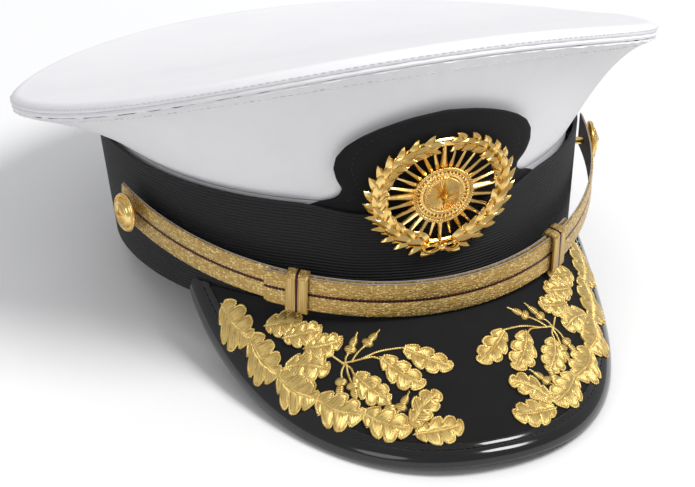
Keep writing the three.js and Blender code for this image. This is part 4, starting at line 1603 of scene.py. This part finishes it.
@dataclass
class Visor:
    """The visor: black cloth above, patent leather below, bound in patent leather."""

    shape: VisorShape
    rows: RowMaker
    cloth_inset: float = 4.6
    layers: tuple[tuple[str, float, float, float, float, str], ...] = (
        ("visor_top_cloth", 4.6, 0.0, 0.8, 78.5, "visor_cloth"),
        ("visor_stiff_board", 1.7, 1.3, 2.0, 82.0, "visor_board"),
        ("visor_under_lining", 4.9, 3.75, 0.7, 78.0, "visor_lining"),
    )

    def build(self) -> None:
        """Makes the visor's layers and its binding."""
        finishes = (FELT, FIBRE, PATENT)
        for (name, inset, down, thick, tip, node), finish in zip(self.layers, finishes):

            def place(u: Array, v: Array, w: Array, i=inset, d=down, t=thick, a=tip) -> Array:
                """A point of the layer, from the band out to the edge."""
                edge = self.shape.inset((2 * u - 1) * math.radians(a), i)
                band = self.shape.band_y(edge[..., 0])
                y = band + (edge[..., 1] - band) * v
                return np.stack([edge[..., 0], y, self.shape.top(edge[..., 0], y) - d - t * (1 - w)], -1)

            Bundle().slab((120, 28), place).piece(name, finish, Body.FRAME, [node], crease=50)
        self.build_binding()

    def build_binding(self) -> None:
        """Makes the folded binding, with its ridge and its row of stitches."""
        profile = [(5.1, 0.35), (5.15, -0.1), (4.9, -0.42), (4.45, -0.5), (4.0, -0.4), (3.6, -0.2), (3.2, -0.16)]
        profile += [(2.8, -0.3), (2.2, -0.46), (1.4, -0.42), (0.7, -0.12), (0.2, 0.5), (0.0, 1.4), (0.0, 2.8)]
        profile += [(0.15, 3.6), (0.6, 4.2), (1.4, 4.5), (5.0, 4.5), (5.1, 4.1), (5.0, 3.85), (1.5, 3.85)]
        profile += [(1.0, 3.5), (0.9, 1.2), (1.4, 0.85), (4.9, 0.85)]
        turn = np.linspace(-1, 1, 200) * math.radians(86.5)
        columns = []
        for inwards, down in profile:
            plan = self.shape.inset(turn, inwards)
            columns.append(np.stack([plan[:, 0], plan[:, 1], self.shape.top(plan[:, 0], plan[:, 1]) - down], -1))
        rows = np.stack(columns, 1)
        binding = Bundle().loft(rows, along=run_of(rows[:, 0]))
        binding.piece("visor_patent_binding", PATENT, Body.FRAME, ["visor_binding"], crease=70)
        span = np.linspace(-1, 1, 300) * math.radians(80)
        plan = self.shape.inset(span, 3.35)
        rows = [Row(self.shape.above(plan, 0.22), self.shape.normal(plan))]
        self.rows.lay("visor_binding_stitches", rows, stitch(1.9, 0.5, 0.4), 2.6, BLACK_THREAD, Body.FRAME)


@dataclass(frozen=True)
class Leaf:
    """One embroidered oak leaf: where it starts and ends in plan on the wearer's left."""

    root: tuple[float, float]
    tip: tuple[float, float]
    width: float = 11.0
    curl: float = 0.0
    lift: float = 0.0


@dataclass(frozen=True)
class Acorn:
    """One embroidered acorn on its stem."""

    stem: tuple[float, float]
    tip: tuple[float, float]


@dataclass
class Spray:
    """The gold oak spray embroidered on each half of the visor."""

    shape: VisorShape
    rows: RowMaker
    pad: float = 1.15
    lobes: float = 3.6
    leaves: tuple[Leaf, ...] = (
        Leaf((68, -74), (62, -95), 11.5, 1.0),
        Leaf((63, -91), (58, -112), 12.0, 1.2),
        Leaf((59, -109), (49, -128), 12.5, 1.4, 0.2),
        Leaf((51, -125), (37, -142), 13.0, 1.4),
        Leaf((39, -139), (24, -154), 12.5, 1.2, 0.2),
        Leaf((26, -154), (7, -157), 12.0, 1.0),
        Leaf((26, -152), (11, -143), 11.0, -1.0, 0.3),
        Leaf((58, -93), (45, -101), 9.5, 0.6),
        Leaf((54, -101), (40, -108), 9.5, 0.6, 0.2),
        Leaf((49, -109), (35, -115), 9.5, 0.8, 0.3),
        Leaf((57, -109), (42, -122), 11.0, -0.8),
        Leaf((37, -126), (28, -142), 10.5, 0.8),
        Leaf((27, -125), (15, -142), 11.0, 1.2),
        Leaf((19, -125), (3, -138), 10.5, 1.0),
    )
    acorns: tuple[Acorn, ...] = (
        Acorn((38, -121), (32, -115)),
        Acorn((36, -122), (25, -117)),
        Acorn((39, -122), (44, -130)),
        Acorn((38, -122), (39, -134)),
        Acorn((30, -146), (30, -138)),
        Acorn((29, -146), (23, -141)),
    )
    stems: tuple[tuple[tuple[float, float], ...], ...] = (
        ((49, -110), (43, -114), (39, -121)),
        ((39, -121), (34, -123), (27, -123), (19, -125)),
        ((39, -121), (37, -124), (37, -127)),
        ((33, -123), (29, -124), (27, -126)),
    )

    def plan(self, points: Array, side: Side) -> Array:
        """Places of the left spray set on either side."""
        return points * np.array([side.value, 1.0])

    def build(self, side: Side) -> None:
        """Makes one spray: satin leaves and acorns, then the cords that edge them."""
        body = Bundle()
        cords: list[Row] = []
        for leaf in self.leaves:
            cords += self.add_leaf(body, leaf, side)
        for acorn in self.acorns:
            cords += self.add_acorn(body, acorn, side)
        name = "embroidery_" + side.word
        body.piece(name, BULLION, Body.FRAME, ["visor_embroidery_" + side.word], crease=60)
        for stem in self.stems:
            cords.append(self.cord(self.curved(np.array(stem, float)), 0.25, side))
        self.rows.lay(name + "_cords", cords, stitch(1.35, 0.62, 0.62, 30), 0.8, GOLD_CORD, Body.FRAME)

    def curved(self, corners: Array, count: int = 26) -> Array:
        """A smooth line through a few places."""
        share = run_of(corners)
        fine = np.linspace(0, share[-1], count)
        line = np.stack([np.interp(fine, share, corners[:, i]) for i in (0, 1)], -1)
        for _ in range(10):
            line[1:-1] = 0.25 * line[:-2] + 0.5 * line[1:-1] + 0.25 * line[2:]
        return line

    def cord(self, line: Array, height: Array | float, side: Side, closed: bool = False) -> Row:
        """A line on the visor that a twisted cord follows."""
        plan = self.plan(line, side)
        return Row(self.shape.above(plan, height), self.shape.normal(plan), closed)

    def add_leaf(self, body: Bundle, leaf: Leaf, side: Side) -> list[Row]:
        """Adds one padded leaf.

        Args:
            body: The bundle that it joins.
            leaf: The leaf.
            side: The side of the visor.

        Returns:
            The lines of its edge and its midrib, for their cords.
        """
        root, tip = np.array(leaf.root, float), np.array(leaf.tip, float)
        length = float(np.linalg.norm(tip - root))
        ahead = (tip - root) / length
        across = np.array([-ahead[1], ahead[0]])
        s = np.linspace(0, 1, 57)[:, None]
        t = np.concatenate([[-1, -0.93], np.linspace(-0.8, 0.8, 15), [0.93, 1]])[None]
        half, notch = self.outline(s, leaf.width * 0.43, np.sign(t))
        reach = np.abs(t)
        along = length * (0.02 + s * 0.86) + 0.42 * half * reach**1.5
        sideways = t * half + leaf.curl * np.sin(np.pi * s)
        valley = 1 - 0.55 * notch * reach
        dome = np.clip(1 - reach**2.6, 0, 1) ** 0.55
        rise = self.pad * dome * valley * np.clip(np.sin(np.pi * np.clip(s, 0.03, 0.985)), 0, 1) ** 0.35
        groove = 0.42 * np.exp(-((t / 0.1) ** 2)) * rise
        height = 0.06 + leaf.lift + rise - groove
        plan = root + ahead * along[..., None] + across * sideways[..., None]
        uv = np.stack([along - 0.75 * reach * half, t * half + 0 * s], -1)
        top = self.shape.above(self.plan(plan, side), height)
        low = self.shape.above(self.plan(plan, side), np.full_like(height, -0.3))
        rows = np.concatenate([top, low[:, ::-1]], 1)
        body.loft(rows, uv=np.concatenate([uv, uv[:, ::-1]], 1))
        edge = np.concatenate([plan[1:-1, 0], plan[1:-1, -1][::-1]])
        rib = plan[:-2, t.shape[1] // 2]
        lift = 0.5 + leaf.lift
        return [
            self.cord(edge, lift, side, closed=True),
            self.cord(rib, height[:-2, t.shape[1] // 2] + 0.1, side),
        ]

    def outline(self, s: Array, half: float, hand: Array) -> tuple[Array, Array]:
        """The leaf's half width along it, and how deep it is notched there.

        Args:
            s: Shares along the leaf.
            half: Its greatest half width.
            hand: Which side of the midrib, whose lobes are not quite opposite.

        Returns:
            The half width and the notch, from 0 to 1.
        """
        phase = self.lobes * s**0.92 + 0.12 + 0.16 * hand
        notch = (1 - np.abs(np.sin(np.pi * phase))) ** 2.2 * smooth(0.02, 0.2, s) * (1 - smooth(0.9, 1.0, s))
        envelope = half * np.clip(np.sin(np.pi * s**0.82), 0, 1) ** 0.62 * (0.86 + 0.14 * s)
        return np.maximum(envelope * (1 - 0.52 * notch), 0.12), notch

    def add_acorn(self, body: Bundle, acorn: Acorn, side: Side) -> list[Row]:
        """Adds one acorn, its nut standing out of its cup.

        Args:
            body: The bundle that it joins.
            acorn: The acorn.
            side: The side of the visor.

        Returns:
            The line of its stem, for its cord.
        """
        stem, tip = np.array(acorn.stem, float), np.array(acorn.tip, float)
        ahead = (tip - stem) / np.linalg.norm(tip - stem)
        base = tip - ahead * 6.0
        for start, length, wide, tall in ((0.0, 3.0, 2.2, 1.2), (2.1, 4.2, 1.75, 1.1)):
            share = np.linspace(0, 1, 14)
            size = np.clip(np.sin(np.pi * np.clip(share, 0.02, 0.985)), 0, 1) ** 0.6 * (1.05 - 0.45 * share * (start > 0))
            plan = self.plan(base + ahead * (start + length * share)[:, None], side)
            path = self.shape.above(plan, 0.15)
            rows = tube(path, self.shape.normal(plan), wide * size, tall * size, 12)
            turn = np.arange(12) / 12 * wide * TURN
            uv = np.stack(np.meshgrid(share * length, turn, indexing="ij"), -1)
            body.loft(rows, uv=uv)
        point = np.stack([tip - ahead * 0.4, tip + ahead * 1.2])
        line = self.curved(np.stack([stem, (stem + base) / 2 + [0.5, 0.3], base + ahead * 0.4]), 14)
        return [self.cord(line, 0.25, side), self.cord(self.curved(point, 5), 0.3, side)]


# ---- The chinstrap, its keepers and the buttons ----


@dataclass
class StrapShape:
    """The strap's own tilted oval, which hangs from the two buttons."""

    half_wide: float = 92.7
    half_long: float = 120.2
    tilt: float = 10.98
    rise: float = 33.993
    width: float = 12.7

    def at(self, theta: Array, out: Array | float, height: Array | float) -> Array:
        """Points a distance out from the strap's oval and a height from its middle."""
        theta, out, height = np.broadcast_arrays(theta, out, height)
        x = (self.half_wide + out) * np.sin(theta)
        y = -(self.half_long + out) * np.cos(theta)
        s, c = math.sin(math.radians(self.tilt)), math.cos(math.radians(self.tilt))
        return np.stack([x, y * c - height * s, y * s + height * c + self.rise], -1)


@dataclass
class Chinstrap:
    """Two halves of gold lace on a pale tape, one lying over the other."""

    shape: StrapShape
    end: float = 77.5
    overlap: float = 38.0
    lace_thick: float = 0.5
    band_rise: float = 0.3
    tape_thick: float = 0.35
    end_slip: float = 0.25  # the free end sits this much low, within the keeper's clearance

    def build(self) -> None:
        """Makes both halves."""
        self.build_half(Side.RIGHT, -self.end, self.overlap, -1.5)
        self.build_half(Side.LEFT, -self.overlap, self.end, 0.3)

    def build_half(self, side: Side, start: float, end: float, out: float) -> None:
        """Makes one half: the tape and the lace sewn on it.

        Args:
            side: The wearer's side that its button is on.
            start: The angle that it starts at, in degrees.
            end: The angle that it ends at.
            out: How far out of the strap's oval its back lies.
        """
        theta = np.radians(np.linspace(start, end, 260))
        free = -side.value * self.overlap
        slip = -self.end_slip * smooth(6.0, 0.0, np.abs(np.degrees(theta) - free))
        taper = 1 - 0.12 * smooth(1.2, 0.0, np.abs(np.degrees(theta) - free))
        half = self.shape.width / 2
        v = np.array([-1, -0.985, -0.93, -0.8, -0.55, -0.3, -0.14, -0.1, -0.05, 0, 0.05, 0.1, 0.14, 0.3, 0.55, 0.8])
        v = np.concatenate([v, [0.93, 0.985, 1]])
        swell = np.clip(1 - ((np.abs(v) - 0.55) / 0.46) ** 2, 0, 1) ** 0.5
        middle = 0.45 * np.exp(-((v / 0.06) ** 2))
        rise = self.band_rise * np.maximum(swell, middle)
        scallop = 1 + 0.012 * np.sin(theta * 190)
        back = out + self.tape_thick
        height = (v[None] * (half * scallop * taper)[:, None]) + slip[:, None]
        front = self.shape.at(theta[:, None], back + self.lace_thick - 0.12 + rise[None], height)
        rear = self.shape.at(theta[:, None], back, height[:, ::-1])
        along = run_of(front[:, len(v) // 2])
        across = np.concatenate([v * half, v[::-1] * half])
        lace = Bundle().loft(np.concatenate([front, rear], 1), along=along, across=across)
        lace.piece("strap_gold_" + side.word, GOLD_LACE, Body.CHINSTRAP, ["strap_lace_" + side.word], crease=60)
        wide = half + 0.3
        place = [(0.02, -wide), (self.tape_thick - 0.02, -wide), (self.tape_thick - 0.02, wide), (0.02, wide)]
        columns = [self.shape.at(theta, out + o, h * taper + slip) for o, h in place]
        tape = Bundle().loft(np.stack(columns, 1), along=along)
        tape.piece("strap_tape_" + side.word, PALE_TAPE, Body.CHINSTRAP, ["strap_backing_" + side.word])


@dataclass
class Keeper:
    """A sliding loop of the same lace round both halves of the strap."""

    shape: StrapShape
    side: Side
    angle: float = 31.0
    length: float = 8.5
    deep: float = 2.15
    tall: float = 7.05
    wall: float = 0.8

    def build(self) -> None:
        """Makes the loop, with rounded corners and edges."""
        corner = 0.7
        turn = np.linspace(0, math.pi / 2, 5)
        loop: list[tuple[float, float, float, float]] = []
        for k, (sx, sy) in enumerate(((1, 1), (-1, 1), (-1, -1), (1, -1))):
            for a in turn:
                angle = a + k * math.pi / 2
                centre = (sx * (self.deep - corner), sy * (self.tall - corner))
                loop.append((*centre, math.cos(angle), math.sin(angle)))
        ring = np.array(loop)
        sides = np.array([-1, -0.98, -0.88, -0.5, -0.16, -0.08, 0.08, 0.16, 0.5, 0.88, 0.98, 1])
        swell = np.clip(1 - ((np.abs(sides) - 0.5) / 0.52) ** 2, 0, 1) ** 0.5 * 0.22
        swell[[0, -1]] = -0.25
        track = np.concatenate([sides, sides[::-1]])
        grow = np.concatenate([self.wall - 0.2 + swell, np.zeros(len(sides))])
        middle = (self.shape.half_wide + self.shape.half_long) / 2
        theta = self.side.value * math.radians(self.angle) + track * self.length / 2 / middle
        reach = corner + grow
        out = ring[:, 0, None] + ring[:, 2, None] * reach[None]
        height = ring[:, 1, None] + ring[:, 3, None] * reach[None]
        rows = self.shape.at(theta[None] + 0 * out, out, height)
        along = run_of(rows[:, len(sides) // 2])
        loop_piece = Bundle().loft(rows, closed=True, along=along, across=track * self.length / 2)
        name = "keeper_" + self.side.word
        loop_piece.piece(name + "_lace", GOLD_LACE, Body(name), [name], crease=50)


@dataclass
class Button:
    """A small gilt button with a rope edge and a plain star."""

    side: Side
    rows: RowMaker
    place: tuple[float, float, float] = (88.649, -34.5, 27.3)
    axis: tuple[float, float] = (0.972348, -0.233538)
    radius: float = 7.2
    back: float = 2.1

    def world(self, local: Array) -> Array:
        """Points of the button's own frame, whose Z points out of the cap."""
        local = np.asarray(local, float)
        out = np.array([self.side.value * self.axis[0], self.axis[1], 0.0])
        up = np.array([0.0, 0.0, 1.0])
        across = np.cross(up, out)
        centre = np.array(self.place) * [self.side.value, 1, 1]
        return centre + local[..., :1] * across + local[..., 1:2] * up + local[..., 2:] * out

    def circle(self, radius: float, height: float, count: int) -> Array:
        """A circle of the button's own frame."""
        turn = np.arange(count) / count * TURN
        return np.stack([radius * np.sin(turn), radius * np.cos(turn), np.full(count, height)], -1)

    def build(self) -> None:
        """Makes the button's head and its post."""
        b, r = self.back, self.radius
        profile = [(1.72, b + 1.9), (1.72, b + 0.05), (r - 0.7, b), (r - 0.25, b + 0.2), (r, b + 0.6), (r, b + 0.9)]
        profile += [(r - 0.2, b + 1.3), (r - 0.6, b + 1.55), (r - 1.1, b + 1.45), (r - 1.5, b + 1.2), (r - 1.8, b + 1.4)]
        profile += [(r - 2.0, b + 1.9), (r - 2.3, b + 2.35), (r - 2.8, b + 2.7), (r - 3.3, b + 2.8), (r - 3.5, b + 2.65)]
        profile += [(r - 3.7, b + 2.85), (2.2, b + 3.25), (1.2, b + 3.4), (0.02, b + 3.45), (0.02, b + 1.95)]
        rows = np.stack([self.circle(radius, height, 64) for radius, height in profile], 1)
        head = Bundle().loft(self.world(rows), closed=True)
        head.facets(*star_facets((3.1, 1.9), 0.9, b + 3.1, b + 4.1, self.world))
        word = self.side.word
        body = Body("button_" + word)
        head.piece("button_head_" + word, GILT_BRASS, body, ["button_" + word], crease=35)
        post = np.stack([self.circle(s, z, 24) for s, z in ((0.02, -11.7), (1.1, -11.7), (1.4, -11.4), (1.4, b + 1.6), (0.02, b + 1.6))], 1)
        Bundle().loft(self.world(post), closed=True).piece(
            "button_screw_" + word, GILT_BRASS, body, ["button_post_" + word], crease=35
        )
        line = self.circle(r - 0.75, b + 1.5, 90)
        facing = unit(self.world(line + [0, 0, 1.0]) - self.world(line))
        self.rows.lay(
            "button_rope_" + word, [Row(self.world(line), facing, True)], stitch(1.5, 0.6, 0.6, 36), 0.72, GILT_BRASS, body
        )


# ---- The stage ----


@dataclass
class Studio:
    """The pale floor, the soft lights and the camera."""

    azimuth: float = 18.05
    elevation: float = 21.83
    roll: float = -2.42
    distance: float = 998.0
    lens: float = 134.9
    target: tuple[float, float, float] = (-0.6, -13.8, -7.9)
    rear_rest: tuple[float, float] = (90.6, 0.0)  # where the band's back edge stands: y and z

    def build(self, frame: Mapping[str, Any]) -> None:
        """Sets up the stage round the cap.
        """
        self.add_camera()
        self.add_floor(frame)
        self.add_lights()
        self.add_world()

    def add_camera(self) -> None:
        """Adds the camera and makes it the scene's."""
        a, e, r = (math.radians(v) for v in (self.azimuth, self.elevation, self.roll))
        back = Vector((-math.sin(a) * math.cos(e), -math.cos(a) * math.cos(e), math.sin(e)))
        level = (-back).cross(Vector((0, 0, 1))).normalized()
        upright = level.cross(-back)
        right = level * math.cos(r) + upright * math.sin(r)
        up = upright * math.cos(r) - level * math.sin(r)
        camera = bpy.data.objects.new("Camera", bpy.data.cameras.new("Camera"))
        camera.data.lens = self.lens
        camera.data.sensor_width = 36.0
        turn = Matrix((right, up, back)).transposed().to_4x4()
        spot = (Vector(self.target) + back * self.distance) * MM
        camera.matrix_world = Matrix.Translation(spot) @ turn
        bpy.context.scene.collection.objects.link(camera)
        bpy.context.scene.camera = camera

    def add_floor(self, frame: Mapping[str, Any]) -> None:
        """Adds a pale floor that the visor's edge and the band's back rest on, fading out."""
        edge = frame["nodes"]["visor_binding"].data.vertices
        y, z = self.rear_rest
        slope = max((z - v.co.z / MM) / (y - v.co.y / MM) for v in edge)
        turn = np.arange(64) / 64 * TURN
        centre_y = -30.0
        rows = []
        for radius in (0.0, 200.0, 400.0, 620.0):
            x, fy = radius * np.sin(turn), centre_y + radius * np.cos(turn)
            rows.append(np.stack([x, fy, z - slope * (y - fy) - 0.4], -1))
        points = np.vstack([row if i else row[:1] for i, row in enumerate(rows)]) * MM
        faces = [(0, 1 + i, 1 + (i + 1) % 64) for i in range(64)]
        for ring in range(2):
            base = 1 + 64 * ring
            faces += [(base + i, base + 64 + i, base + 64 + (i + 1) % 64, base + (i + 1) % 64) for i in range(64)]
        mesh = bpy.data.meshes.new("Floor")
        mesh.from_pydata(points.tolist(), [], faces)
        mesh.materials.append(self.floor_material())
        floor = bpy.data.objects.new("Floor", mesh)
        bpy.context.scene.collection.objects.link(floor)

    def floor_material(self) -> bpy.types.Material:
        """White paper sweep, which fades into the background well away from the cap."""
        made = bpy.data.materials.new("White paper sweep")
        made.use_nodes = True
        tree = made.node_tree
        shader = tree.nodes["Principled BSDF"]
        shader.inputs["Base Color"].default_value = to_linear("#FFFFFF")
        shader.inputs["Roughness"].default_value = 0.9
        where = add_node(tree, "ShaderNodeTexCoord").outputs["Object"]
        far = add_node(tree, "ShaderNodeVectorMath", {0: where}, operation="LENGTH")
        alpha = ranged(tree, far.outputs["Value"], (0.2, 0.42), (1.0, 0.0))
        tree.links.new(alpha, shader.inputs["Alpha"])
        return made

    def add_lights(self) -> None:
        """Adds three soft area lights."""
        for name, spot, size, power in (
            ("Key", (0.6, -0.85, 1.25), 0.7, 17.5),
            ("Fill", (-1.3, -0.9, 0.5), 0.8, 3.0),
            ("Rear", (0.1, 1.3, 0.9), 0.9, 3.0),
        ):
            light = bpy.data.lights.new(name, "AREA")
            light.shape = "DISK"
            light.size = size
            light.energy = power
            lamp = bpy.data.objects.new(name, light)
            lamp.location = spot
            lamp.rotation_euler = (Vector((0, 0, 0.03)) - Vector(spot)).to_track_quat("-Z", "Y").to_euler()
            bpy.context.scene.collection.objects.link(lamp)

    def add_world(self) -> None:
        """Adds a pale room, seen as white."""
        world = bpy.data.worlds.new("Pale room")
        bpy.context.scene.world = world
        world.use_nodes = True
        tree = world.node_tree
        lit = tree.nodes["Background"]
        lit.inputs["Color"].default_value = to_linear("#F4F5F8")
        lit.inputs["Strength"].default_value = 0.5
        seen = add_node(tree, "ShaderNodeBackground", {"Color": (1, 1, 1, 1), "Strength": 1.0})
        path = add_node(tree, "ShaderNodeLightPath")
        mixed = add_node(
            tree, "ShaderNodeMixShader", {0: path.outputs["Is Camera Ray"], 1: lit.outputs[0], 2: seen.outputs[0]}
        )
        tree.links.new(mixed.outputs[0], tree.nodes["World Output"].inputs["Surface"])
        bpy.context.scene.view_settings.view_transform = "Standard"


def dress_nodes(frame: Mapping[str, Any]) -> None:
    """Gives the frame's own nodes that stay in view their finishes.
    """
    for node, finish in (
        ("sweatband_tab", SWEAT_LEATHER),
        ("front_stay", SPRING_STEEL),
        ("badge_nut", GILT_BRASS),
    ):
        made = frame["nodes"][node]
        made.data.materials.clear()
        made.data.materials.append(finish.build())
        LOG.info("%s: given %s", node, finish.name)


def main() -> None:
    """Builds the cap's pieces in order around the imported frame."""
    logging.basicConfig(level=logging.INFO, format="%(name)s: %(message)s")
    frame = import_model()
    rows = RowMaker()
    head = HeadOval()
    cover = CoverShape(head)
    visor = VisorShape(head)
    strap = StrapShape()
    Studio().build(frame)
    Band(head, rows).build()
    Cover(cover, rows).build()
    Mount(cover, rows).build()
    Badge(rows).build()
    Visor(visor, rows).build()
    spray = Spray(visor, rows)
    Chinstrap(strap).build()
    for side in Side:
        spray.build(side)
        Keeper(strap, side).build()
        Button(side, rows).build()
    dress_nodes(frame)


if __name__ == "__main__":
    main()
